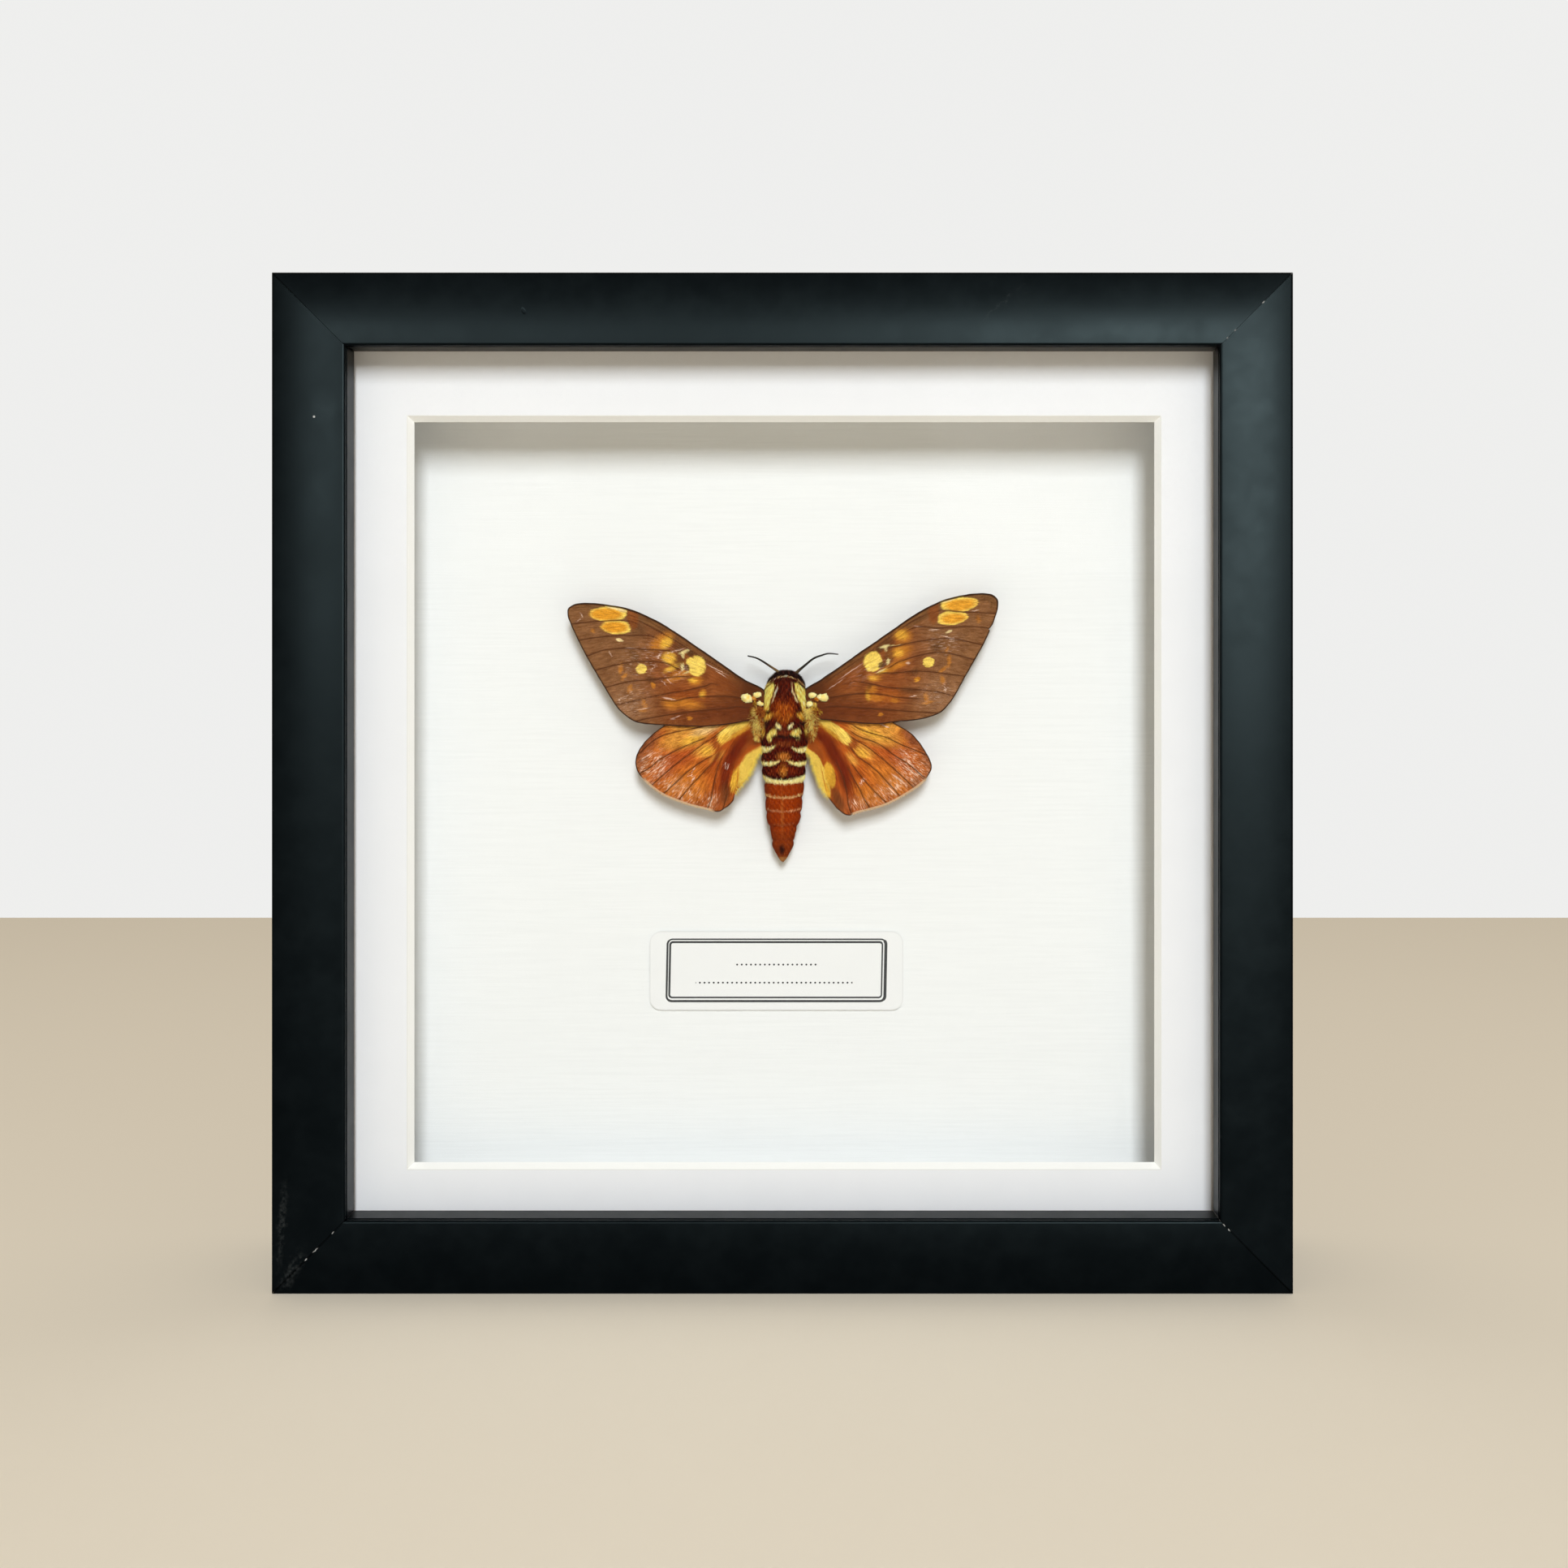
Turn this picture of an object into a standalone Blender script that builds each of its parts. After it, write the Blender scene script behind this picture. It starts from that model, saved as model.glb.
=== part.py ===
"""Framed moth specimen: a dried moth with spread wings, in a square black box frame.

Metres, +Z up, the glass facing -Y. The origin is at the bottom centre of the frame.
Left and right are those of someone who looks at the moth from the front.
"""

import math

import bmesh
import bpy
from mathutils import Matrix, Vector

MM = 0.001
GAP = 0.3 * MM  # clearance between pieces that touch on the real object

# Box frame: four mitred rails with a lip in front and a wall behind it
FRAME_SIDE = 250 * MM
FRAME_DEPTH = 45 * MM
FACE_WIDTH = 18 * MM
WALL_WIDTH = 10 * MM
LIP_DEPTH = 8 * MM
ARRIS_RADIUS = 0.7 * MM
ARRIS_STEPS = 3

# Sheets that lie one behind the other in the rebate, from the front to the back
GLAZING_THICKNESS = 2 * MM
MAT_THICKNESS = 1.4 * MM
SPACER_DEPTH = 15 * MM
BOARD_THICKNESS = 2.5 * MM
PANEL_THICKNESS = 2.5 * MM
SPACER_WIDTH = 5 * MM

# Window of the mat: cut 3 mm low, with a 45 degree bevel
WINDOW_SIDE = 186 * MM
WINDOW_DROP = 3.1 * MM

# Label stuck on the mount board
LABEL_SIZE = (66 * MM, 20.5 * MM)
LABEL_CENTRE = (-2.65 * MM, 74.3 * MM)
LABEL_THICKNESS = 0.2 * MM
LABEL_CORNER = 3 * MM
CORNER_STEPS = 6

# Bent steel tabs that hold the back panel, two on each side
TAB_LENGTH = 13 * MM
TAB_WIDTH = 8 * MM
TAB_THICKNESS = 0.8 * MM
TAB_PLACES = (-60 * MM, 60 * MM)

# Toothed hanger nailed to the back panel
HANGER_LENGTH = 44 * MM
HANGER_HEIGHT = 8 * MM
HANGER_THICKNESS = 0.8 * MM
HANGER_LIFT = 1.8 * MM
HANGER_FOOT = 8 * MM
HANGER_BEND = 2 * MM
HANGER_Z = 212 * MM
TEETH = 7
TOOTH_DEPTH = 1.4 * MM
NAIL_HOLE_RADIUS = 1.1 * MM
NAIL_SHANK_RADIUS = 0.8 * MM
NAIL_HEAD_RADIUS = 1.8 * MM
NAIL_HEAD_HEIGHT = 0.8 * MM
NAIL_SIDES = 16

# Moth: its centre on the frame, and the sizes of its thin parts
MOTH_CENTRE = (-0.5 * MM, 143.3 * MM)
BODY_DEPTH_RATIO = 0.84
BODY_SIDES = 24
BODY_STEPS = 4
BODY_LEAN = 0.0245
BODY_OFFSET = 0.35 * MM
TAIL_DROOP = 1.6 * MM
SEGMENT_GROOVE = 0.3 * MM
SEGMENT_GROOVE_WIDTH = 0.7 * MM
WING_THICKNESS = 0.4 * MM
WING_SPACING = 5 * MM
WING_CAMBER = 0.9 * MM
WING_LENGTH = 50 * MM
FOREWING_ABOVE_AXIS = 1.3 * MM
HINDWING_ABOVE_AXIS = 0.2 * MM
OUTLINE_STEPS = 6
ANTENNA_RADIUS = 0.4 * MM
ANTENNA_TIP = 0.4
ANTENNA_ABOVE_AXIS = 0.5 * MM

# Half width of the body against height, from the head to the tip of the abdomen, in mm
BODY_OUTLINE = (
    (9.2, 0.0), (8.7, 2.4), (7.3, 4.2), (4.6, 5.2), (0.0, 5.5), (-4.2, 5.7),
    (-7.9, 6.2), (-12.0, 6.0), (-16.5, 5.75), (-20.2, 5.25), (-25.9, 4.8), (-28.6, 4.5),
    (-31.0, 3.8), (-33.2, 3.15), (-36.1, 2.8), (-38.2, 1.8), (-39.8, 0.9), (-40.7, 0.0),
)  # fmt: skip

# Heights at which two segments of the abdomen meet, in mm
SEGMENT_JOINS = (-11.5, -15.0, -19.0, -23.2, -27.0, -30.6, -34.2)

# Wing outlines in mm: distance out from the middle of the moth, and height
FOREWING_LEFT = (
    (6.5, 3.7), (11.9, 7.3), (17.9, 11.5), (28.8, 18.9), (34.2, 21.9), (40.4, 24.8),
    (45.7, 26.1), (50.5, 26.5), (53.8, 26.1), (55.5, 24.4), (54.6, 20.9), (51.1, 13.6),
    (47.7, 7.7), (44.2, 1.9), (42.3, -0.8), (39.6, -3.1), (36.5, -4.4), (28.8, -5.0),
    (19.6, -5.2), (10.2, -4.0), (6.9, -2.6),
)  # fmt: skip
FOREWING_RIGHT = (
    (6.7, 3.7), (13.6, 8.8), (21.3, 14.2), (29.0, 19.2), (36.7, 24.2), (43.0, 27.3),
    (46.7, 28.6), (50.7, 29.0), (53.4, 28.6), (55.0, 27.0), (54.4, 23.1), (51.5, 16.3),
    (47.1, 8.5), (43.4, 1.9), (40.7, -1.25), (38.0, -2.6), (34.4, -3.5), (29.0, -4.0),
    (23.6, -4.6), (13.6, -3.8), (7.2, -2.6),
)  # fmt: skip
HINDWING_LEFT = (
    (6.8, -5.0), (10.0, -2.6), (20.0, -2.0), (27.0, -3.2), (31.1, -5.2), (35.4, -8.8),
    (37.9, -12.9), (37.7, -16.5), (35.4, -19.4), (31.1, -22.7), (24.8, -25.2), (19.6, -26.5),
    (16.7, -27.1), (14.2, -25.6), (12.9, -24.2), (12.2, -21.9), (9.0, -17.9), (6.8, -12.6),
    (7.2, -9.0),
)  # fmt: skip
HINDWING_RIGHT = (
    (7.2, -5.0), (10.0, -2.6), (20.0, -1.6), (25.0, -2.6), (28.8, -4.6), (33.6, -7.8),
    (37.8, -14.4), (37.0, -18.0), (33.8, -21.1), (26.5, -25.2), (19.0, -27.3), (16.7, -28.1),
    (14.4, -27.0), (12.1, -24.4), (9.4, -20.4), (7.5, -15.5), (6.8, -12.0), (7.5, -9.0),
)  # fmt: skip

# Feelers in mm, from the head to the tip: distance right of the middle, and height
ANTENNA_LEFT = ((-1.9, 9.7), (-3.5, 10.7), (-5.4, 12.0), (-7.1, 12.6), (-9.6, 12.9))
ANTENNA_RIGHT = ((3.0, 9.7), (5.0, 10.9), (7.3, 12.4), (9.6, 13.2), (11.5, 13.6), (14.2, 13.3))

# Depths that follow from the sizes above, from the front to the back
FRONT = -FRAME_DEPTH / 2
BACK = FRAME_DEPTH / 2
LIP_BACK = FRONT + LIP_DEPTH
GLAZING_FRONT = LIP_BACK + GAP
MAT_FRONT = GLAZING_FRONT + GLAZING_THICKNESS + GAP
MAT_BACK = MAT_FRONT + MAT_THICKNESS
SPACER_FRONT = MAT_BACK + GAP
BOARD_FRONT = SPACER_FRONT + SPACER_DEPTH + GAP
PANEL_FRONT = BOARD_FRONT + BOARD_THICKNESS + GAP
PANEL_BACK = PANEL_FRONT + PANEL_THICKNESS
TAB_FRONT = PANEL_BACK + GAP
HANGER_FRONT = PANEL_BACK + GAP

HALF_SIDE = FRAME_SIDE / 2
SHEET_HALF = HALF_SIDE - WALL_WIDTH - GAP
FRAME_CENTRE = Vector((0, 0, HALF_SIDE))
BODY_HALF_WIDTH = max(width for _, width in BODY_OUTLINE) * MM
BODY_AXIS = BOARD_FRONT - GAP - BODY_HALF_WIDTH * BODY_DEPTH_RATIO

FINISHES = {
    "black_lacquer": ((0.018, 0.020, 0.022), 0.35, 0.0),
    "clear_pane": ((0.85, 0.90, 0.90), 0.05, 0.0),
    "white_card": ((0.86, 0.87, 0.86), 0.9, 0.0),
    "linen_board": ((0.90, 0.90, 0.86), 0.95, 0.0),
    "paper_label": ((0.93, 0.93, 0.91), 0.5, 0.0),
    "brown_hardboard": ((0.28, 0.16, 0.08), 0.8, 0.0),
    "zinc_steel": ((0.55, 0.55, 0.55), 0.35, 1.0),
    "dark_fur": ((0.16, 0.05, 0.02), 0.9, 0.0),
    "brown_scales": ((0.17, 0.07, 0.03), 0.8, 0.0),
    "orange_scales": ((0.45, 0.16, 0.05), 0.8, 0.0),
    "brown_horn": ((0.10, 0.07, 0.04), 0.5, 0.0),
}


def clear_scene():
    for found in list(bpy.data.objects):
        bpy.data.objects.remove(found, do_unlink=True)


def new_collection(name):
    collection = bpy.data.collections.new(name)
    bpy.context.scene.collection.children.link(collection)
    return collection


def finish_material(piece_name, finish):
    colour, roughness, metallic = FINISHES[finish]
    material = bpy.data.materials.new(piece_name)
    material.use_nodes = True
    shader = material.node_tree.nodes["Principled BSDF"]
    shader.inputs["Base Color"].default_value = (*colour, 1.0)
    shader.inputs["Roughness"].default_value = roughness
    shader.inputs["Metallic"].default_value = metallic
    material.diffuse_color = (*colour, 1.0)
    return material


def add_piece(name, data, finish):
    piece = bpy.data.objects.new(name, data)
    data.materials.clear()
    data.materials.append(finish_material(name, finish))
    parts.objects.link(piece)
    return piece


def mesh_of(bm, name):
    mesh = bpy.data.meshes.new(name)
    bm.to_mesh(mesh)
    bm.free()
    return mesh


def smooth_by_angle(mesh, degrees=35):
    mesh.shade_smooth()
    mesh.set_sharp_from_angle(angle=math.radians(degrees))


def box_mesh(name, low, high):
    low = Vector(low)
    high = Vector(high)
    bm = bmesh.new()
    bmesh.ops.create_cube(bm, size=1)
    bmesh.ops.scale(bm, vec=high - low, verts=bm.verts)
    bmesh.ops.translate(bm, vec=(low + high) / 2, verts=bm.verts)
    return mesh_of(bm, name)


def add_box(name, low, high, finish):
    return add_piece(name, box_mesh(name, low, high), finish)


def add_sheet_in_rebate(name, front, thickness, finish):
    low = (-SHEET_HALF, front, HALF_SIDE - SHEET_HALF)
    high = (SHEET_HALF, front + thickness, HALF_SIDE + SHEET_HALF)
    return add_box(name, low, high, finish)


def cylinder(bm, radius, start, end, x, z):
    """A round bar along Y, from depth start to depth end."""
    place = Matrix.Translation((x, (start + end) / 2, z)) @ Matrix.Rotation(math.radians(90), 4, "X")
    bmesh.ops.create_cone(
        bm, cap_ends=True, cap_tris=False, segments=NAIL_SIDES,
        radius1=radius, radius2=radius, depth=end - start, matrix=place,
    )  # fmt: skip


def cut(piece, cutter):
    modifier = piece.modifiers.new("cut_" + cutter.name, "BOOLEAN")
    modifier.operation = "DIFFERENCE"
    modifier.object = cutter


def add_cutter(name, mesh):
    cutter = bpy.data.objects.new(name, mesh)
    cutter.hide_render = True
    cutter.display_type = "WIRE"
    cutters.objects.link(cutter)
    return cutter


def smooth_path(points, steps, closed):
    """Points on a smooth curve that passes through the given ones."""
    points = [Vector(point) for point in points]
    count = len(points)
    spans = count if closed else count - 1

    def at(index):
        return points[index % count] if closed else points[min(max(index, 0), count - 1)]

    path = []
    for span in range(spans):
        before, start, end, after = (at(span + offset) for offset in (-1, 0, 1, 2))
        for step in range(steps):
            t = step / steps
            pull = 2 * before - 5 * start + 4 * end - after
            turn = 3 * start - before - 3 * end + after
            path.append(0.5 * (2 * start + (end - before) * t + pull * t * t + turn * t**3))
    if not closed:
        path.append(points[-1])
    return path


def arc(centre_w, centre_y, radius, first_degrees):
    """Quarter circle in a rail's section, as (inward, depth) points."""
    points = []
    for step in range(ARRIS_STEPS + 1):
        angle = math.radians(first_degrees + 90 * step / ARRIS_STEPS)
        points.append((centre_w + radius * math.cos(angle), centre_y + radius * math.sin(angle)))
    return points


def rail_section():
    """Section of a rail: distance in from its outer side, and depth."""
    r = ARRIS_RADIUS
    return [
        (0, BACK),
        *arc(r, FRONT + r, r, 180),
        *arc(FACE_WIDTH - r, FRONT + r, r, 270),
        (FACE_WIDTH, LIP_BACK),
        (WALL_WIDTH, LIP_BACK),
        (WALL_WIDTH, BACK),
    ]


def rail_mesh():
    """Bottom rail about the frame's centre. Its ends are mitred, a little short of the joint."""
    setback = GAP / math.sqrt(2)
    bm = bmesh.new()
    ring = [bm.verts.new((-1, depth, inward)) for inward, depth in rail_section()]
    face = bm.faces.new(ring)
    grown = bmesh.ops.extrude_face_region(bm, geom=[face])["geom"]
    for vertex in grown:
        if isinstance(vertex, bmesh.types.BMVert):
            vertex.co.x = 1
    for vertex in bm.verts:
        inward = vertex.co.z
        vertex.co.x *= HALF_SIDE - inward - setback
        vertex.co.z = inward - HALF_SIDE
    bmesh.ops.recalc_face_normals(bm, faces=bm.faces)
    mesh = mesh_of(bm, "rail")
    smooth_by_angle(mesh)
    return mesh


def build_frame():
    shared = rail_mesh()
    for quarter, side in enumerate(("bottom", "left", "top", "right")):
        rail = add_piece("frame_rail_" + side, shared.copy(), "black_lacquer")
        rail.location = FRAME_CENTRE
        rail.rotation_euler.y = math.radians(90 * quarter)


def build_mat():
    """Mat whose window is cut by a four-sided cone, which leaves the bevel."""
    mat = add_sheet_in_rebate("mat", MAT_FRONT, MAT_THICKNESS, "white_card")
    overrun = 1 * MM
    front_half = WINDOW_SIDE / 2 + MAT_THICKNESS + overrun
    back_half = WINDOW_SIDE / 2 - overrun
    centre = Vector((0, (MAT_FRONT + MAT_BACK) / 2, HALF_SIDE - WINDOW_DROP))
    turn = Matrix.Rotation(math.radians(90), 4, "X") @ Matrix.Rotation(math.radians(45), 4, "Z")
    bm = bmesh.new()
    bmesh.ops.create_cone(
        bm, cap_ends=True, cap_tris=False, segments=4,
        radius1=back_half * math.sqrt(2), radius2=front_half * math.sqrt(2),
        depth=MAT_THICKNESS + 2 * overrun, matrix=Matrix.Translation(centre) @ turn,
    )  # fmt: skip
    cut(mat, add_cutter("mat_window", mesh_of(bm, "mat_window")))


def build_spacers():
    """Strips that hold the mat off the board: two full-length ones, two between them."""
    outer = SHEET_HALF
    inner = SHEET_HALF - SPACER_WIDTH
    depth = (SPACER_FRONT, SPACER_FRONT + SPACER_DEPTH)
    for side, low_z, high_z in (("top", inner, outer), ("bottom", -outer, -inner)):
        low = (-outer, depth[0], HALF_SIDE + low_z)
        high = (outer, depth[1], HALF_SIDE + high_z)
        add_box("spacer_" + side, low, high, "white_card")
    reach = inner - GAP
    for side, low_x, high_x in (("left", -outer, -inner), ("right", inner, outer)):
        low = (low_x, depth[0], HALF_SIDE - reach)
        high = (high_x, depth[1], HALF_SIDE + reach)
        add_box("spacer_" + side, low, high, "white_card")


def build_label():
    """Rounded rectangle, as a filled flat curve of half its thickness each way."""
    curve = bpy.data.curves.new("label", "CURVE")
    curve.dimensions = "2D"
    curve.fill_mode = "BOTH"
    curve.extrude = LABEL_THICKNESS / 2
    half_width = LABEL_SIZE[0] / 2 - LABEL_CORNER
    half_height = LABEL_SIZE[1] / 2 - LABEL_CORNER
    points = []
    for quarter, (right, up) in enumerate(((1, 1), (-1, 1), (-1, -1), (1, -1))):
        for step in range(CORNER_STEPS + 1):
            angle = math.radians(90 * (quarter + step / CORNER_STEPS))
            x = right * half_width + LABEL_CORNER * math.cos(angle)
            y = up * half_height + LABEL_CORNER * math.sin(angle)
            points.append((x, y, 0, 1))
    spline = curve.splines.new("POLY")
    spline.points.add(len(points) - 1)
    for point, place in zip(spline.points, points):
        point.co = place
    spline.use_cyclic_u = True
    label = add_piece("label", curve, "paper_label")
    depth = BOARD_FRONT - GAP - LABEL_THICKNESS / 2
    label.location = (LABEL_CENTRE[0], depth, LABEL_CENTRE[1])
    label.rotation_euler.x = math.radians(90)


def build_back():
    panel = add_sheet_in_rebate("back_panel", PANEL_FRONT, PANEL_THICKNESS, "brown_hardboard")
    start = HALF_SIDE - WALL_WIDTH - GAP
    low = (-TAB_WIDTH / 2, TAB_FRONT, start - TAB_LENGTH)
    high = (TAB_WIDTH / 2, TAB_FRONT + TAB_THICKNESS, start)
    for quarter, side in enumerate(("top", "right", "bottom", "left")):
        turn = Matrix.Rotation(math.radians(90 * quarter), 3, "Y")
        for number, place in enumerate(TAB_PLACES, start=1):
            name = f"retaining_tab_{side}_{number}"
            tab = add_box(name, low, high, "zinc_steel")
            tab.location = FRAME_CENTRE + turn @ Vector((place, 0, 0))
            tab.rotation_euler.y = math.radians(90 * quarter)
    return panel


def hanger_outline():
    """Strip with teeth along the middle of its lower edge, as (x, z) points."""
    half = HANGER_LENGTH / 2
    top = HANGER_HEIGHT / 2
    toothed = half - HANGER_FOOT - HANGER_BEND
    points = [(half, -top), (half, top), (-half, top), (-half, -top), (-toothed, -top)]
    pitch = 2 * toothed / TEETH
    for tooth in range(TEETH):
        left = -toothed + tooth * pitch
        points.append((left + pitch / 2, -top + TOOTH_DEPTH))
        points.append((left + pitch, -top))
    return points


def hanger_lift(x, _z):
    """The middle stands off the panel, between two bends."""
    foot = HANGER_LENGTH / 2 - HANGER_FOOT
    risen = min(max((foot - abs(x)) / HANGER_BEND, 0), 1)
    return HANGER_LIFT * risen


def sheet_mesh(name, outline, cuts_x, cuts_z, lift):
    """Thin sheet in the XZ plane, cut by lines so that it can follow the lift towards +Y."""
    bm = bmesh.new()
    verts = [bm.verts.new((x, 0, z)) for x, z in outline]
    edges = [bm.edges.new((verts[i - 1], verts[i])) for i in range(len(verts))]
    bmesh.ops.contextual_create(bm, geom=edges)
    for axis, cuts in ((0, cuts_x), (2, cuts_z)):
        for place in cuts:
            point = Vector((0, 0, 0))
            point[axis] = place
            normal = Vector((0, 0, 0))
            normal[axis] = 1
            geom = list(bm.verts) + list(bm.edges) + list(bm.faces)
            bmesh.ops.bisect_plane(bm, geom=geom, plane_co=point, plane_no=normal, dist=1e-6)
    bmesh.ops.triangulate(bm, faces=bm.faces)
    for vertex in bm.verts:
        vertex.co.y = lift(vertex.co.x, vertex.co.z)
    return mesh_of(bm, name)


def thicken(piece, thickness):
    modifier = piece.modifiers.new("thickness", "SOLIDIFY")
    modifier.thickness = thickness
    modifier.offset = 0


def build_hanger(panel):
    """Toothed hanger, and the two nails that go through its feet into the panel."""
    foot = HANGER_LENGTH / 2 - HANGER_FOOT
    bends = (-foot, HANGER_BEND - foot, foot - HANGER_BEND, foot)
    mesh = sheet_mesh("hanger", hanger_outline(), bends, (), hanger_lift)
    hanger = add_piece("hanger", mesh, "zinc_steel")
    hanger.location = (0, HANGER_FRONT + HANGER_THICKNESS / 2, HANGER_Z)
    thicken(hanger, HANGER_THICKNESS)
    nail_x = HANGER_LENGTH / 2 - HANGER_FOOT / 2
    head_front = HANGER_FRONT + HANGER_THICKNESS + GAP
    for side, x in (("left", -nail_x), ("right", nail_x)):
        bm = bmesh.new()
        cylinder(bm, NAIL_HOLE_RADIUS, PANEL_FRONT - GAP, head_front + GAP, x, HANGER_Z)
        hole = add_cutter("nail_hole_" + side, mesh_of(bm, "nail_hole"))
        cut(hanger, hole)
        cut(panel, hole)
        profile = nail_profile(PANEL_FRONT, head_front)
        add_turned("hanger_nail_" + side, profile, x, HANGER_Z)


def nail_profile(tip, head_front):
    """Shank and domed head, as (radius, depth) points from the tip to the top of the head."""
    shoulder = head_front + NAIL_HEAD_HEIGHT / 2
    top = head_front + NAIL_HEAD_HEIGHT
    return (
        (0, tip),
        (NAIL_SHANK_RADIUS, tip),
        (NAIL_SHANK_RADIUS, head_front),
        (NAIL_HEAD_RADIUS, head_front),
        (NAIL_HEAD_RADIUS, shoulder),
        (NAIL_HEAD_RADIUS / 2, top),
        (0, top),
    )


def add_turned(name, profile, x, z):
    """Shape turned about an axis along Y, with a Screw modifier about the object's own Z."""
    bm = bmesh.new()
    verts = [bm.verts.new((radius, 0, -depth)) for radius, depth in profile]
    for first, second in zip(verts, verts[1:]):
        bm.edges.new((first, second))
    piece = add_piece(name, mesh_of(bm, name), "zinc_steel")
    piece.location = (x, 0, z)
    piece.rotation_euler.x = math.radians(90)
    screw = piece.modifiers.new("turn", "SCREW")
    screw.steps = NAIL_SIDES
    screw.render_steps = NAIL_SIDES
    screw.use_merge_vertices = True
    screw.merge_threshold = 0.00001
    return piece


def body_ring(z):
    """How far the body's axis stands right of the middle, and its depth, at a height."""
    tail = min(max(-z / (40 * MM), 0), 1)
    return BODY_OFFSET + BODY_LEAN * z, BODY_AXIS + TAIL_DROOP * tail * tail


def groove(z):
    nearest = min(abs(z - join * MM) for join in SEGMENT_JOINS)
    return SEGMENT_GROOVE * math.exp(-((nearest / SEGMENT_GROOVE_WIDTH) ** 2))


def build_body():
    """Head, thorax and abdomen grown as one: a sphere whose rings take the body's outline."""
    rings = smooth_path(BODY_OUTLINE, BODY_STEPS, closed=False)
    last = len(rings) - 1
    bm = bmesh.new()
    bmesh.ops.create_uvsphere(bm, u_segments=BODY_SIDES, v_segments=last, radius=1)
    for vertex in bm.verts:
        index = round(math.acos(max(-1, min(1, vertex.co.z))) / math.pi * last)
        z = rings[index].x * MM
        width = max(rings[index].y * MM, 0)
        if 0 < index < last:
            width -= groove(z) * min(1, width / BODY_HALF_WIDTH)
        spoke = Vector((vertex.co.x, vertex.co.y, 0))
        if 0 < index < last:
            spoke.normalize()
        middle_x, middle_y = body_ring(z)
        x = MOTH_CENTRE[0] + middle_x + spoke.x * width
        y = middle_y + spoke.y * width * BODY_DEPTH_RATIO
        vertex.co = (x, y, MOTH_CENTRE[1] + z)
    mesh = mesh_of(bm, "moth_body")
    smooth_by_angle(mesh, 60)
    add_piece("moth_body", mesh, "dark_fur")


def wing_lift(x, z):
    """Gentle arch towards the glass, highest halfway along the wing."""
    along = min(math.hypot(x, z) / WING_LENGTH, 1)
    return -WING_CAMBER * math.sin(math.pi * along)


def grid_lines(values):
    """Multiples of the wing spacing that fall inside the values' range."""
    first = math.ceil(min(values) / WING_SPACING)
    last = math.floor(max(values) / WING_SPACING)
    return [number * WING_SPACING for number in range(first, last + 1)]


def add_wing(name, outline, side, above_axis, finish):
    path = smooth_path(outline, OUTLINE_STEPS, closed=True)
    points = [(side * point.x * MM, point.y * MM) for point in path]
    cuts_x = grid_lines([x for x, _ in points])
    cuts_z = grid_lines([z for _, z in points])
    mesh = sheet_mesh(name, points, cuts_x, cuts_z, wing_lift)
    smooth_by_angle(mesh)
    wing = add_piece(name, mesh, finish)
    wing.location = (MOTH_CENTRE[0], BODY_AXIS - above_axis, MOTH_CENTRE[1])
    thicken(wing, WING_THICKNESS)


def add_antenna(name, points):
    path = smooth_path(points, 3, closed=False)
    curve = bpy.data.curves.new(name, "CURVE")
    curve.dimensions = "3D"
    curve.bevel_depth = ANTENNA_RADIUS
    curve.bevel_resolution = 2
    curve.use_fill_caps = True
    spline = curve.splines.new("POLY")
    spline.points.add(len(path) - 1)
    for index, (point, place) in enumerate(zip(spline.points, path)):
        along = index / (len(path) - 1)
        point.co = (place.x * MM, 0, place.y * MM, 1)
        point.radius = 1 - (1 - ANTENNA_TIP) * along
    antenna = add_piece(name, curve, "brown_horn")
    antenna.location = (MOTH_CENTRE[0], BODY_AXIS - ANTENNA_ABOVE_AXIS, MOTH_CENTRE[1])


def build_moth():
    build_body()
    add_wing("forewing_left", FOREWING_LEFT, -1, FOREWING_ABOVE_AXIS, "brown_scales")
    add_wing("forewing_right", FOREWING_RIGHT, 1, FOREWING_ABOVE_AXIS, "brown_scales")
    add_wing("hindwing_left", HINDWING_LEFT, -1, HINDWING_ABOVE_AXIS, "orange_scales")
    add_wing("hindwing_right", HINDWING_RIGHT, 1, HINDWING_ABOVE_AXIS, "orange_scales")
    add_antenna("antenna_left", ANTENNA_LEFT)
    add_antenna("antenna_right", ANTENNA_RIGHT)


clear_scene()
parts = new_collection("framed_moth_specimen")
cutters = new_collection("cutters")
build_frame()
add_sheet_in_rebate("glazing", GLAZING_FRONT, GLAZING_THICKNESS, "clear_pane")
build_mat()
build_spacers()
add_sheet_in_rebate("mount_board", BOARD_FRONT, BOARD_THICKNESS, "linen_board")
build_label()
build_moth()
build_hanger(build_back())
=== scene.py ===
"""Framed moth specimen: a dried moth with spread wings in a black box frame, with the finish of each piece.

Metres, +Z up, the glass facing -Y. Places on the moth are in millimetres from the moth's centre:
how far out from (or, with a sign, across) the middle line, and how high.
"""

import math

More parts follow.
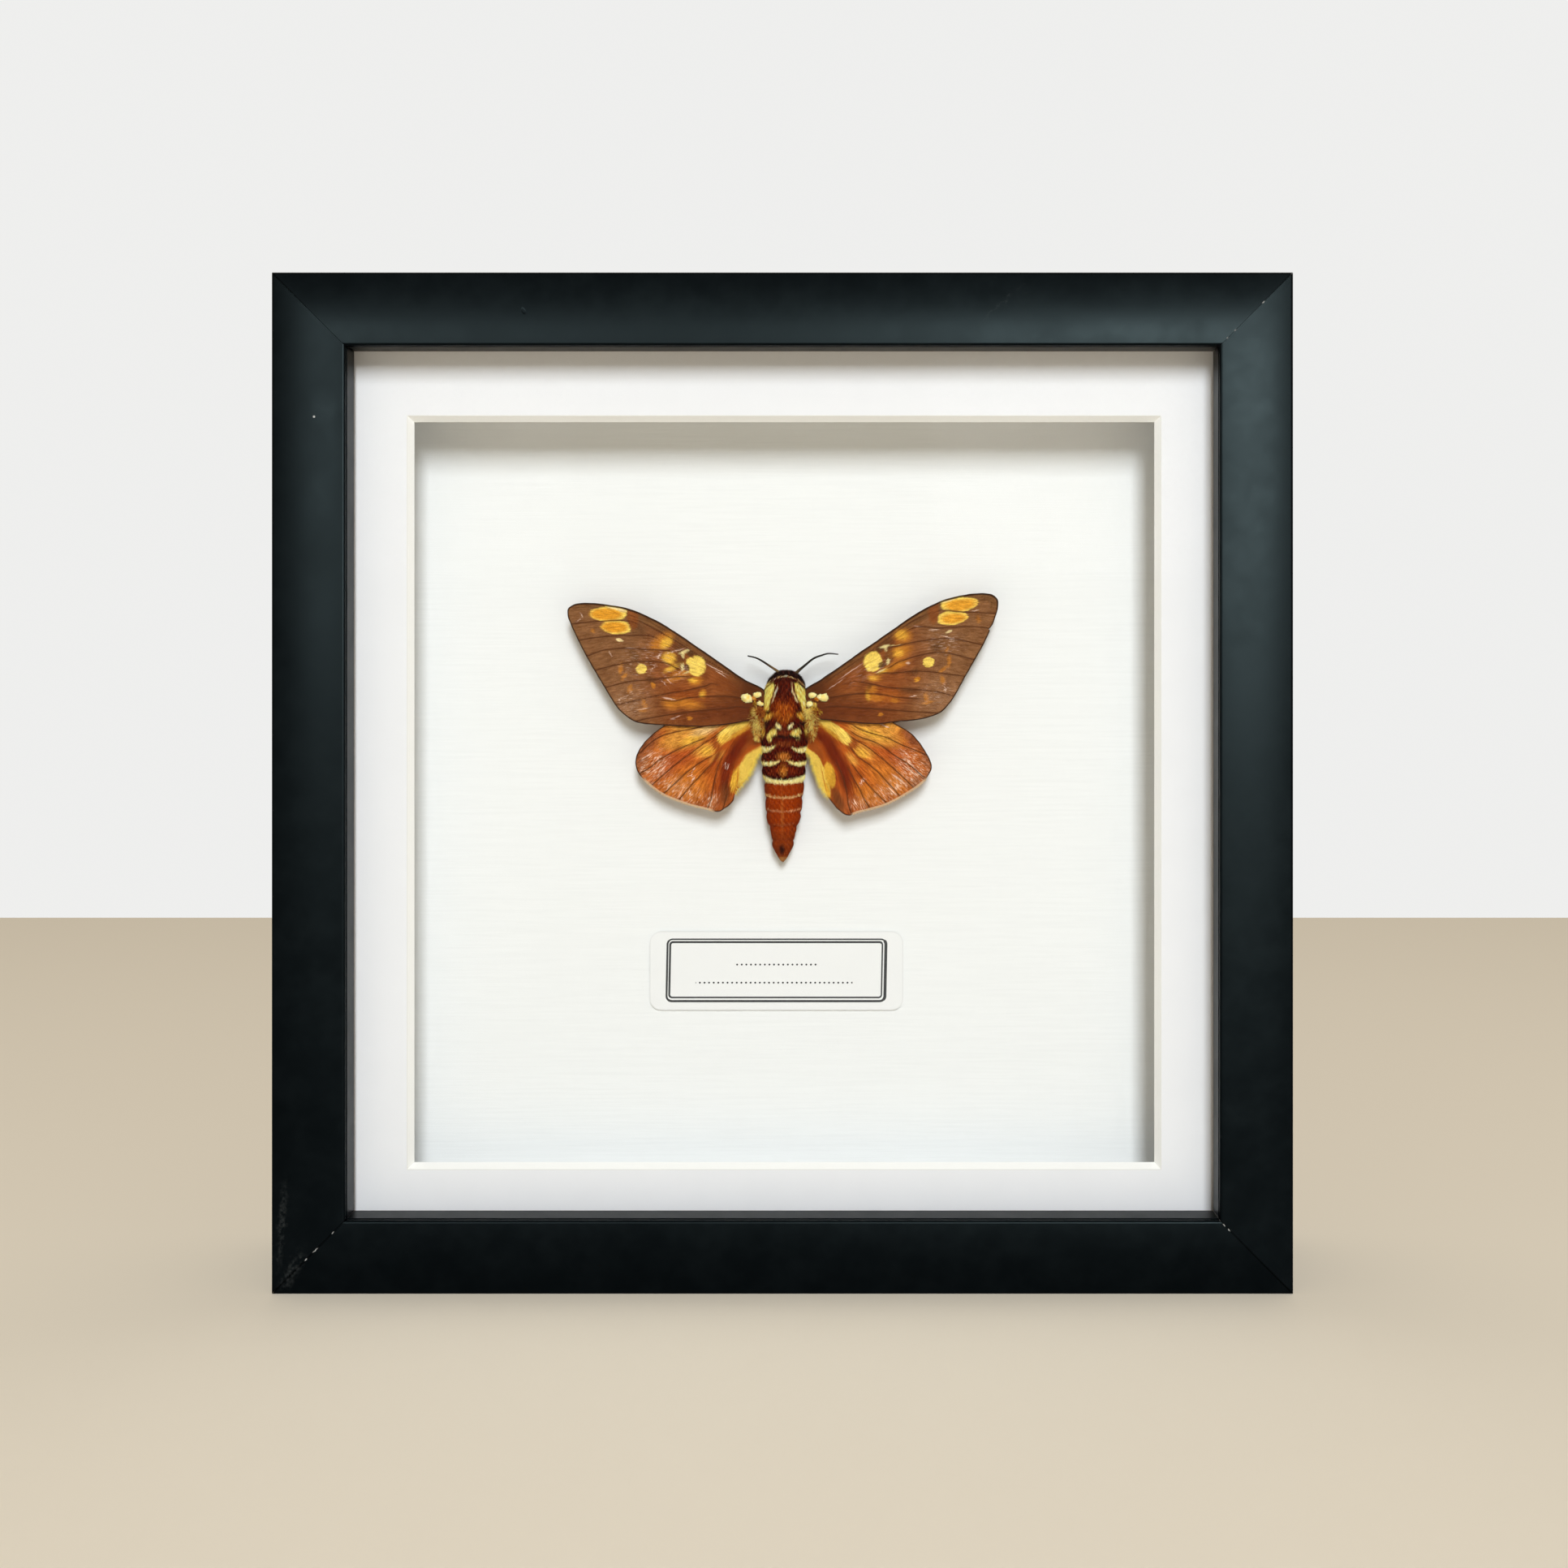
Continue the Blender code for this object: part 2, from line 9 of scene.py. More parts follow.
import bpy
import numpy as np
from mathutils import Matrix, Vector


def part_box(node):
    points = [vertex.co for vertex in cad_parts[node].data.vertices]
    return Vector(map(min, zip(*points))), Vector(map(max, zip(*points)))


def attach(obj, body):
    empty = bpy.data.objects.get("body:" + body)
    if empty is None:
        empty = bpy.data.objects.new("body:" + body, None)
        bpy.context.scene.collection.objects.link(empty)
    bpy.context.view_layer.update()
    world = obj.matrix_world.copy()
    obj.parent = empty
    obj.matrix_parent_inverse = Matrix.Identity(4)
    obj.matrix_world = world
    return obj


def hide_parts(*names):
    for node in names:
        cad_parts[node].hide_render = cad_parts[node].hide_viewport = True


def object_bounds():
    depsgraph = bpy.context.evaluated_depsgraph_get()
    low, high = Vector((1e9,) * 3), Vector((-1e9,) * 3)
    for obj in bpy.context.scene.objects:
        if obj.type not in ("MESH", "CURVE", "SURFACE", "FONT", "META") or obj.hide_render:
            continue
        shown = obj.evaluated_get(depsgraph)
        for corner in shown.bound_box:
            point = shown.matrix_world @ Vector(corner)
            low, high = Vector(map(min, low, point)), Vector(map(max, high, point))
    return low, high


bl_info = {
    "name": "Framed Moth Specimen",
    "version": (1, 0, 0),
    "blender": (4, 5, 0),
    "location": "3D View > Sidebar > Moth",
    "description": "Builds a dried moth with spread wings in a black box frame",
    "category": "Add Mesh",
}

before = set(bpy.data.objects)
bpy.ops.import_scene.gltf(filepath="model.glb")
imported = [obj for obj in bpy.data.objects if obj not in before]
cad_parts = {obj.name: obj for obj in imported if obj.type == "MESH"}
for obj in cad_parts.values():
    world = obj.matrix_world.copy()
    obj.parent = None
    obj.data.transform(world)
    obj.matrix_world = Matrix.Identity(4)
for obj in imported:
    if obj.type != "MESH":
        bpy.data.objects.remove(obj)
CAD_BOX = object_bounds()

MM = 0.001
SIDES = {"left": -1, "right": 1}
FRAME_MIDDLE = (CAD_BOX[0] + CAD_BOX[1]) / 2
HALF_SIDE = (CAD_BOX[1].x - CAD_BOX[0].x) / 2
FRONT = CAD_BOX[0].y
FACE_WIDTH = 18 * MM
LIP_BACK = FRONT + 8 * MM
RAIL_BACK = 22.5
RAIL_WALL = 10
WINDOW_HALF = 93
WINDOW_MIDDLE = 121.9
BOARD_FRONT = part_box("mount_board")[0].y
LABEL_LOW, LABEL_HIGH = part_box("label")

# Planes of the moth, which stand off the board as its body does
MOTH_CENTRE = (-0.5 * MM, 143.3 * MM)
BODY_AXIS = BOARD_FRONT - 5.508 * MM
WING_PLANES = {"forewing": BODY_AXIS - 1.3 * MM, "hindwing": BODY_AXIS - 0.2 * MM}
WING_ARCH = 0.9
WING_REACH = 50

# Camera as it stood for the photograph: distance in front of the frame, height, and the axis on the picture
PICTURE_SIDE = 1932
FOCAL_PIXELS = 2127
AXIS_PIXEL = (1050, 816)
CAMERA_PLACE = (17.06 * MM, FRONT - 422 * MM, 154.56 * MM)

# Veins of the forewings, from the front edge to the rear: where each can be seen (from, to), and its course
FOREWING_VEINS = {
    "left": (
        (8, 38, ((46, 24.6), (38, 21.6), (33, 18.9), (27, 15.6), (20.5, 11.4))),
        (37, 55, ((54.4, 21.1), (47.1, 21.8), (39.8, 21.7), (34.6, 19.0), (27, 14.8), (20.5, 10.9))),
        (32, 54, ((52.8, 16.9), (47.1, 17.7), (40.9, 18.1), (34.6, 17.9), (30, 15.9), (24, 12.4))),
        (28, 52, ((50.2, 12.9), (46.1, 14.4), (40.9, 14.8), (36.7, 14.6), (28.4, 14.0), (24, 11.6))),
        (26, 50, ((48.2, 9.2), (43.0, 10.6), (36.7, 11.5), (30.4, 11.1), (26.7, 9.4), (22, 8.6))),
        (24, 47, ((45.5, 4.8), (39.8, 6.3), (34.6, 6.7), (28.4, 7.5), (23.1, 7.7), (20.0, 7.7))),
        (17, 44, ((42.3, 0.4), (36.7, 1.7), (30.4, 3.1), (24.2, 4.2), (20.0, 5.2), (17.9, 5.8))),
        (10, 33, ((42, -1.5), (37, 0.4), (34, 1.8), (28.4, 1.3), (24.2, 2.2), (20, 2.5), (13.8, 2.5))),
        (9, 40, ((37.9, -3.8), (32.5, -2.7), (26.3, -1.7), (20.0, -1.0), (13.8, -0.4))),
    ),
    "right": (
        (8, 38, ((43, 25.9), (36.7, 22.5), (29, 17.9), (21.3, 12.4), (13.6, 7.4))),
        (38, 55, ((54.0, 23.8), (48.8, 24.1), (40.4, 24.0), (36.7, 22.0), (29, 17.4), (21.3, 11.9))),
        (31, 54, ((52.8, 20.0), (47.7, 20.4), (40.4, 20.0), (34.2, 19.6), (29, 16.8), (22, 11.8))),
        (26, 52, ((50.5, 15.8), (44.6, 17.1), (40.4, 17.3), (34.2, 16.5), (29.0, 15.0), (25.9, 13.8))),
        (26, 50, ((48.8, 11.9), (43.6, 13.3), (39.4, 13.8), (34.2, 12.9), (29.0, 11.1), (25.9, 9.4))),
        (23, 47, ((46.1, 7.7), (40.4, 8.5), (34.2, 9.0), (27.9, 8.5), (23.8, 8.3))),
        (15, 44, ((43.2, 2.7), (38.4, 3.8), (32.1, 4.4), (26.9, 4.8), (19.6, 6.3), (16.5, 6.5))),
        (10, 35, ((42, 0.6), (36.3, 1.7), (29.0, 2.3), (24.8, 3.1), (19.6, 3.3), (15.4, 2.7))),
        (10, 40, ((38.4, -1.7), (32.1, -1.3), (25.9, -0.8), (19.6, -0.4), (13.3, 0.0))),
    ),
}
FOREWING_ROOT = (12, (6.4, 6.1, 5.8, 5.5, 5.2, 4.9, 4.1, 2.2, 0.0))

# Veins of the hindwings, which fan out from one point: distance from it where each begins, and its course
HINDWING_FAN = (8.5, -1.0)
HINDWING_VEINS = {
    "left": (
        (12, ((17.9, -4.6), (22.5, -5.6), (27.7, -6.6), (32.1, -8.0), (36.7, -11.8))),
        (13, ((18.3, -6.9), (20.4, -8.2), (25.2, -10.2), (29.4, -12.3), (32.1, -13.9), (34.0, -15.6))),
        (7, ((15.5, -5.9), (18.1, -7.9), (21.1, -10.0), (24.2, -12.3), (27.5, -14.8), (34.0, -20.4))),
        (14.5, ((17.5, -12.2), (20.0, -13.6), (22.5, -15.2), (25.2, -17.3), (27.7, -19.6), (30.4, -22.1))),
        (17, ((17.7, -14.0), (20.0, -16.3), (22.1, -18.6), (24.0, -20.6), (25.6, -22.5), (26.9, -24.0))),
        (13, ((12.7, -7.4), (15.2, -11.8), (16.9, -15.6), (17.9, -19.8), (18.6, -24.0))),
        (22, ((10.5, -8.0), (12.1, -13.0), (13.3, -17.5), (14.9, -24.0))),
    ),
    "right": (
        (9, ((17.6, -4.7), (19.6, -6.0), (25.9, -7.9), (30.0, -9.8), (34.2, -11.5))),
        (10, ((18.6, -7.5), (23.8, -9.4), (27.9, -12.3), (32.1, -15.0), (35.7, -18.1))),
        (10, ((18.1, -8.3), (21.7, -10.6), (25.9, -14.0), (30.0, -17.7), (33.8, -21.3))),
        (13, ((19.2, -13.1), (22.7, -15.6), (26.9, -19.8), (30.2, -23.6))),
        (16, ((16.5, -13.6), (19.6, -17.7), (22.7, -21.3), (26.1, -24.6))),
        (17, ((16.5, -16.0), (19.2, -20.8), (20.4, -23.4), (21.7, -25.6))),
        (14, ((11.3, -8.3), (13.3, -13.6), (15.4, -18.8), (16.5, -25.0))),
    ),
}

# Colours of the scales and the fur
SCALES = {
    "outer": (0.230, 0.099, 0.037),
    "middle": (0.228, 0.067, 0.016),
    "root": (0.094, 0.024, 0.006),
    "front_edge": (0.170, 0.074, 0.024),
    "rear_edge": (0.140, 0.030, 0.007),
    "light_brown": (0.300, 0.140, 0.062),
    "dark_brown": (0.090, 0.036, 0.012),
    "rust": (0.305, 0.068, 0.010),
    "amber": (0.570, 0.205, 0.020),
    "orange": (0.760, 0.330, 0.024),
    "gold": (0.840, 0.480, 0.050),
    "yellow": (0.900, 0.640, 0.120),
    "cream": (0.880, 0.690, 0.330),
    "olive_cream": (0.720, 0.600, 0.260),
    "straw": (1.000, 0.600, 0.150),
    "tuft": (1.000, 0.820, 0.330),
    "scratch": (0.850, 0.620, 0.480),
    "vein": (0.075, 0.020, 0.006),
    "rim": (0.030, 0.012, 0.006),
    "red": (0.420, 0.075, 0.014),
    "red_brown": (0.262, 0.076, 0.026),
    "wine": (0.150, 0.011, 0.002),
    "band": (0.690, 0.300, 0.045),
    "ochre": (0.600, 0.185, 0.022),
    "fringe": (0.640, 0.450, 0.270),
}

# Marks on the wings, painted in this order: colour, strength, and spots of
# (out, height, half length, half width, degrees, softness of the edge)
FOREWING_MARKS = {
    "left": (
        ("light_brown", 0.7, ((41, 0, 7, 6, -50, 0.9),)),
        ("rust", 0.30, ((29, 7, 9, 7.5, 30, 0.9), (16, 6, 5, 3, 30, 0.9))),
        ("rust", 0.70, ((24.5, 2.2, 5.5, 2.6, 0, 0.7),)),
        ("rear_edge", 0.85, ((15, -1.5, 14, 3.2, -4, 0.8),)),
        ("amber", 0.85, ((31.3, 16.2, 3.2, 1.7, -24, 0.6), (26.2, 8.2, 4.2, 1.3, -22, 0.6),
                         (22.4, 6.4, 1.9, 1.1, -15, 0.6), (20.6, 3.2, 1.0, 1.3, 0, 0.5),
                         (24.4, 0.6, 3.6, 1.3, 8, 0.9), (28.9, 0.6, 2.2, 1.4, 10, 0.9))),
        ("gold", 0.85, ((30.0, 15.9, 1.7, 1.2, -20, 0.6), (29.3, 12.3, 1.9, 1.6, 20, 0.5),
                        (28.2, 9.9, 2.6, 0.7, -25, 0.8), (20.9, 3.0, 0.9, 0.6, -40, 0.8),
                        (23.2, 6.6, 1.2, 0.6, 10, 0.9))),
        ("amber", 0.6, ((41.8, 9.6, 0.6, 1.7, 8, 0.6), (40.9, 7.6, 1.2, 0.5, -50, 0.6),
                        (39.4, 4.4, 0.7, 1.3, 20, 0.6), (35.8, 0.6, 0.6, 1.3, -10, 0.6),
                        (36.2, -1.0, 1.4, 0.5, 5, 0.7), (49.0, 19.4, 0.7, 0.5, 40, 0.8))),
        ("dark_brown", 0.6, ((26.9, 14.4, 1.6, 1.1, 20, 0.7), (26.6, 11.6, 1.2, 2.6, 5, 0.6),
                             (33.8, 6.7, 1.6, 1.0, 20, 0.7), (38.2, 12.9, 1.5, 1.1, 40, 0.8),
                             (37.2, 19.4, 2.4, 1.6, 30, 0.9))),
        ("yellow", 1.0, ((45.0, 23.6, 4.8, 1.95, 2, 0.10), (42.9, 20.2, 3.9, 1.75, 4, 0.10),
                         (43.0, 24.9, 3.1, 0.60, 20, 0.2))),
        ("orange", 1.0, ((45.5, 23.5, 4.3, 1.65, 2, 0.30), (43.3, 20.2, 3.6, 1.50, 4, 0.35))),
        ("cream", 0.75, ((43.3, 25.0, 2.6, 0.38, 18, 0.3), (41.3, 24.3, 1.1, 0.55, 20, 0.5))),
        ("middle", 1.0, ((38.6, 22.6, 1.6, 3.2, 0, 0.25),)),
        ("cream", 0.95, ((42.0, 16.9, 0.80, 0.48, 10, 0.3),)),
        ("yellow", 1.0, ((36.4, 9.5, 1.30, 1.38, 0, 0.15), (22.2, 10.0, 2.25, 2.35, 0, 0.12),
                         (23.9, 11.3, 1.1, 0.9, 0, 0.2))),
        ("dark_brown", 0.85, ((23.9, 12.9, 1.05, 0.62, 15, 0.3), (24.9, 9.9, 1.0, 0.85, 20, 0.3))),
        ("olive_cream", 0.9, ((25.3, 13.5, 1.5, 0.32, -12, 0.4), (25.7, 12.9, 0.34, 0.85, 0, 0.4),
                              (25.9, 10.0, 0.38, 1.1, 10, 0.4), (24.9, 8.6, 1.0, 0.22, -25, 0.4))),
        ("amber", 0.95, ((33.4, 5.3, 0.55, 0.85, -25, 0.3), (24.0, -3.1, 0.62, 0.52, 0, 0.4))),
        ("scratch", 0.8, ((29.2, 1.9, 1.7, 0.20, 10, 0.7), (31.9, 12.9, 0.8, 0.30, -50, 0.8),
                          (27.6, 13.9, 2.6, 0.10, -8, 0.8), (36.2, -0.7, 1.6, 0.14, -11, 0.8),
                          (27.7, -2.9, 1.3, 0.12, -24, 0.8), (17.4, 9.1, 2.9, 0.09, 28, 0.9),
                          (16.0, 7.9, 1.6, 0.08, 30, 0.9), (29.4, 6.6, 0.9, 0.12, 55, 0.9),
                          (30.6, 5.9, 0.8, 0.10, 50, 0.9), (44.4, 13.4, 0.8, 0.12, 70, 0.9),
                          (51.9, 23.3, 0.7, 0.10, 75, 0.8), (52.6, 22.0, 0.7, 0.10, -40, 0.8),
                          (39.9, 14.9, 1.5, 0.09, -3, 0.9), (41.6, 1.9, 0.9, 0.12, -40, 0.9),
                          (33.4, 9.9, 1.2, 0.10, -55, 0.9), (26.8, 8.6, 2.6, 0.08, -38, 0.9))),
    ),
    "right": (
        ("light_brown", 0.7, ((41, 2, 7, 6, -50, 0.9),)),
        ("rust", 0.30, ((29, 10, 9, 7.5, 30, 0.9), (16, 6, 5, 3, 30, 0.9))),
        ("rust", 0.70, ((26, 2.8, 5.5, 2.6, 0, 0.7),)),
        ("rear_edge", 0.85, ((15, -1.3, 14, 3.2, -2, 0.8),)),
        ("amber", 0.8, ((30.6, 17.3, 2.4, 1.5, 10, 0.6), (29.9, 13.8, 3.2, 1.7, 22, 0.7),
                        (28.4, 10.2, 4.0, 1.1, 24, 0.7), (23.2, 7.4, 1.9, 1.1, -10, 0.6),
                        (22.6, 4.3, 1.5, 1.1, 0, 0.6), (23.4, 2.2, 2.2, 0.9, -10, 0.6),
                        (28.4, 1.5, 1.2, 0.6, 0, 0.7))),
        ("gold", 0.6, ((30.2, 17.4, 1.6, 1.1, 10, 0.6), (29.5, 13.6, 1.4, 1.0, 20, 0.7),
                       (25.5, 8.9, 1.6, 0.5, 25, 0.7), (22.9, 7.2, 1.2, 0.6, 0, 0.8),
                       (21.6, 2.6, 0.6, 1.2, 10, 0.8))),
        ("ochre", 0.25, ((26.0, 2.4, 4.2, 1.6, 6, 0.8),)),
        ("amber", 0.6, ((42.4, 11.6, 0.6, 1.7, -8, 0.6), (40.6, 9.3, 1.6, 0.45, 35, 0.6),
                        (40.8, 6.6, 0.7, 1.3, 20, 0.6), (36.6, 2.0, 0.6, 1.5, 5, 0.6),
                        (37.0, 1.0, 1.4, 0.4, 10, 0.7), (41.8, 14.4, 0.9, 0.4, 70, 0.7),
                        (50.0, 22.3, 0.6, 1.0, 10, 0.9))),
        ("dark_brown", 0.6, ((26.6, 15.4, 1.6, 1.1, 20, 0.7), (27.0, 12.6, 1.3, 2.4, -20, 0.6),
                             (33.6, 8.9, 1.6, 0.9, 20, 0.7), (39.2, 15.2, 1.8, 1.3, 30, 0.8),
                             (31.8, 4.2, 2.0, 0.9, 0, 0.8), (22.0, 4.9, 1.2, 0.6, 60, 0.8))),
        ("yellow", 1.0, ((45.1, 25.8, 4.9, 1.85, 12, 0.10), (43.3, 22.5, 4.0, 1.65, 9, 0.10),
                         (43.0, 27.0, 3.4, 0.65, 25, 0.2))),
        ("orange", 0.95, ((45.3, 25.8, 4.4, 1.50, 12, 0.35), (43.5, 22.4, 3.5, 1.30, 9, 0.40))),
        ("cream", 0.70, ((42.3, 26.6, 2.4, 0.40, 25, 0.4),)),
        ("middle", 1.0, ((38.4, 23.6, 1.5, 3.0, 0, 0.25),)),
        ("cream", 0.9, ((42.3, 19.1, 0.85, 0.35, 25, 0.4),)),
        ("yellow", 1.0, ((37.1, 11.3, 1.42, 1.35, 40, 0.15), (22.9, 11.1, 2.45, 2.2, 30, 0.12))),
        ("dark_brown", 0.85, ((24.7, 14.0, 1.2, 0.62, 20, 0.3), (25.1, 10.5, 1.0, 0.85, 30, 0.3))),
        ("olive_cream", 0.9, ((25.8, 14.6, 1.4, 0.34, 15, 0.4), (26.2, 14.2, 0.32, 0.7, 0, 0.4),
                              (26.7, 11.4, 0.40, 0.95, -15, 0.4), (25.0, 9.1, 1.5, 0.20, 25, 0.4),
                              (28.6, 15.1, 1.6, 0.10, 8, 0.6))),
        ("amber", 1.0, ((34.2, 6.9, 0.95, 0.62, 30, 0.3), (24.8, -2.1, 0.62, 0.50, 0, 0.4))),
        ("gold", 0.7, ((34.1, 6.7, 0.5, 0.35, 30, 0.6),)),
        ("scratch", 0.75, ((33.2, 2.6, 0.8, 0.14, 9, 0.8), (42.3, 17.6, 1.9, 0.12, -15, 0.9),
                           (43.2, 17.3, 0.5, 0.3, 0, 0.9), (38.6, 19.5, 1.2, 0.12, 5, 0.9),
                           (17.2, 8.6, 3.4, 0.09, 33, 0.9), (13.4, 5.6, 2.2, 0.08, 34, 0.9),
                           (49.0, 24.5, 1.0, 0.10, 10, 0.9), (31.9, 11.1, 0.5, 0.3, 0, 0.9),
                           (41.4, 4.4, 0.2, 0.7, 10, 0.9), (34.4, 19.7, 1.2, 0.09, 5, 0.9))),
    ),
}
HINDWING_MARKS = {
    "left": (
        ("red", 0.8, ((28, -14.5, 8, 4.0, -30, 0.8),)),
        ("red_brown", 0.95, ((35.6, -8.5, 5.2, 3.2, -50, 0.6), (36.8, -14.5, 3.4, 1.8, -90, 0.8))),
        ("ochre", 0.75, ((26, -19.5, 7.0, 3.6, -38, 0.8), (22.2, -21.5, 3.6, 2.6, -40, 0.8))),
        ("band", 0.95, ((25.2, -8.0, 7.0, 2.9, -17, 0.5), (22.5, -5.0, 8.0, 2.0, -4, 0.5),
                        (20.4, -11.4, 3.0, 1.9, -20, 0.6), (17.2, -13.0, 2.4, 0.9, -38, 0.7))),
        ("gold", 0.7, ((19.6, -11.4, 1.7, 1.4, 0, 0.7), (23.4, -8.6, 3.2, 1.2, -20, 0.9))),
        ("cream", 0.5, ((20.6, -6.4, 3.4, 1.1, -12, 0.8), (17.6, -4.6, 3.2, 0.9, -14, 0.8))),
        ("wine", 0.9, ((11.6, -10.6, 6.2, 1.9, -57, 0.6), (14.8, -17.0, 6.4, 1.9, -76, 0.7),
                       (17.4, -13.5, 3.5, 0.7, -60, 0.8))),
        ("dark_brown", 0.6, ((15.0, -22.6, 3.2, 1.5, -85, 0.7),)),
        ("rust", 0.8, ((8.0, -7.6, 3.0, 1.3, -70, 0.6), (9.6, -10.2, 2.6, 0.5, -55, 0.8))),
        ("yellow", 0.95, ((12.4, -5.4, 4.8, 1.35, -27, 0.4), (15.2, -7.6, 2.2, 1.5, -38, 0.4))),
        ("gold", 0.7, ((15.6, -8.4, 1.9, 1.2, -40, 0.5), (11.6, -6.9, 3.4, 0.5, -33, 0.7))),
        ("rust", 0.95, ((17.3, -9.6, 1.1, 2.0, -28, 0.45),)),
        ("yellow", 1.0, ((9.2, -15.2, 7.2, 1.9, -57, 0.25),)),
        ("gold", 0.95, ((12.5, -18.9, 3.4, 1.05, -78, 0.25),)),
        ("ochre", 0.8, ((11.9, -18.4, 3.0, 0.16, -85, 0.6),)),
        ("scratch", 0.85, ((35.5, -13.1, 1.9, 0.14, -36, 0.8), (34.4, -12.9, 1.3, 0.10, -40, 0.8),
                           (32.7, -13.7, 1.1, 0.12, -52, 0.8), (32.5, -15.9, 1.8, 0.12, -40, 0.8),
                           (31.4, -16.4, 1.6, 0.14, -48, 0.8), (23.9, -18.0, 0.9, 0.14, 25, 0.7),
                           (23.3, -18.9, 1.0, 0.18, -60, 0.7), (23.2, -16.4, 0.9, 0.12, -60, 0.8),
                           (14.9, -15.2, 0.6, 0.22, 35, 0.7), (14.4, -15.9, 0.6, 0.12, -70, 0.7),
                           (18.6, -24.4, 1.3, 0.22, -70, 0.8), (29.4, -20.6, 1.5, 0.14, -55, 0.8),
                           (26.8, -22.9, 0.9, 0.14, -50, 0.8), (36.6, -16.4, 1.4, 0.14, -60, 0.8))),
    ),
    "right": (
        ("red", 0.7, ((29, -13.5, 8, 4.0, -35, 0.8),)),
        ("red_brown", 0.95, ((33.4, -8.0, 4.8, 2.2, -45, 0.6), (37.0, -14.0, 4.2, 1.7, -80, 0.8),
                             (34.0, -19.5, 3.0, 1.6, 40, 0.8))),
        ("ochre", 0.85, ((27, -18.5, 7.0, 3.6, -40, 0.8), (21.5, -22.5, 4.6, 2.6, -30, 0.8))),
        ("band", 0.95, ((23.6, -7.2, 7.2, 2.9, -17, 0.5), (24.0, -5.2, 6.6, 2.0, 0, 0.5),
                        (20.6, -11.6, 3.0, 1.6, -35, 0.6), (17.6, -13.6, 2.2, 1.0, -50, 0.7))),
        ("gold", 0.6, ((20.0, -12.0, 1.9, 1.2, -30, 0.7), (22.4, -7.0, 4.2, 1.0, -20, 0.9))),
        ("wine", 0.9, ((12.2, -11.0, 7.2, 1.9, -62, 0.6), (15.8, -18.0, 6.4, 2.0, -76, 0.7),
                       (9.0, -7.0, 3.4, 0.5, -60, 0.7))),
        ("dark_brown", 0.6, ((13.9, -24.0, 3.4, 1.3, -68, 0.7),)),
        ("rust", 0.8, ((8.6, -10.6, 5.0, 0.9, -68, 0.6), (12.5, -7.2, 3.8, 0.7, -45, 0.7))),
        ("yellow", 0.95, ((12.8, -5.6, 5.4, 1.15, -32, 0.3), (15.6, -8.2, 2.2, 1.3, -48, 0.35))),
        ("gold", 0.6, ((12.4, -7.0, 4.2, 0.5, -38, 0.7),)),
        ("rust", 0.95, ((17.6, -9.9, 1.9, 1.3, -135, 0.4),)),
        ("yellow", 1.0, ((8.7, -16.4, 7.6, 1.75, -67, 0.15),)),
        ("gold", 0.95, ((11.9, -17.8, 3.6, 1.35, -78, 0.2), (11.2, -21.6, 2.4, 0.5, -72, 0.4))),
        ("ochre", 0.8, ((10.3, -19.0, 4.4, 0.16, -78, 0.6),)),
        ("scratch", 0.85, ((33.6, -15.9, 3.6, 0.16, -47, 0.6), (32.8, -16.8, 1.9, 0.22, -38, 0.6),
                           (29.6, -18.8, 2.4, 0.26, -36, 0.7), (20.2, -19.4, 1.2, 0.2, 55, 0.7),
                           (27.8, -21.8, 1.2, 0.24, -45, 0.7), (25.6, -5.0, 1.2, 0.16, -25, 0.6),
                           (31.4, -12.2, 1.5, 0.14, -40, 0.8), (18.4, -24.8, 1.0, 0.18, -60, 0.7),
                           (29.3, -20.6, 0.5, 0.4, 0, 0.9), (33.0, -19.0, 0.5, 0.3, 0, 0.9))),
    ),
}

# Where scales are rubbed off in fine streaks: (out, height, half length, half width, degrees, softness)
RUBBED = {
    "forewing_left": ((35, 12, 7, 4, -20, 0.9), (39, 1, 5, 3.5, -40, 0.9), (27, 8.5, 5, 2.0, -20, 0.9)),
    "forewing_right": ((41, 16, 5, 3, 0, 0.9), (39, 3, 5, 3.0, 30, 0.9), (22, 9, 6, 2.0, 30, 0.9)),
    "hindwing_left": (
        (33.2, -15.8, 5.0, 3.6, -60, 0.8), (27, -21, 7, 2.4, 28, 0.9), (18.5, -24.5, 2.5, 1.6, -70, 0.8),
    ),
    "hindwing_right": (
        (33, -15.8, 5.5, 3.8, -55, 0.8), (28, -21, 7, 2.4, 30, 0.9), (19.5, -25.0, 2.5, 1.8, 0, 0.9),
    ),
}

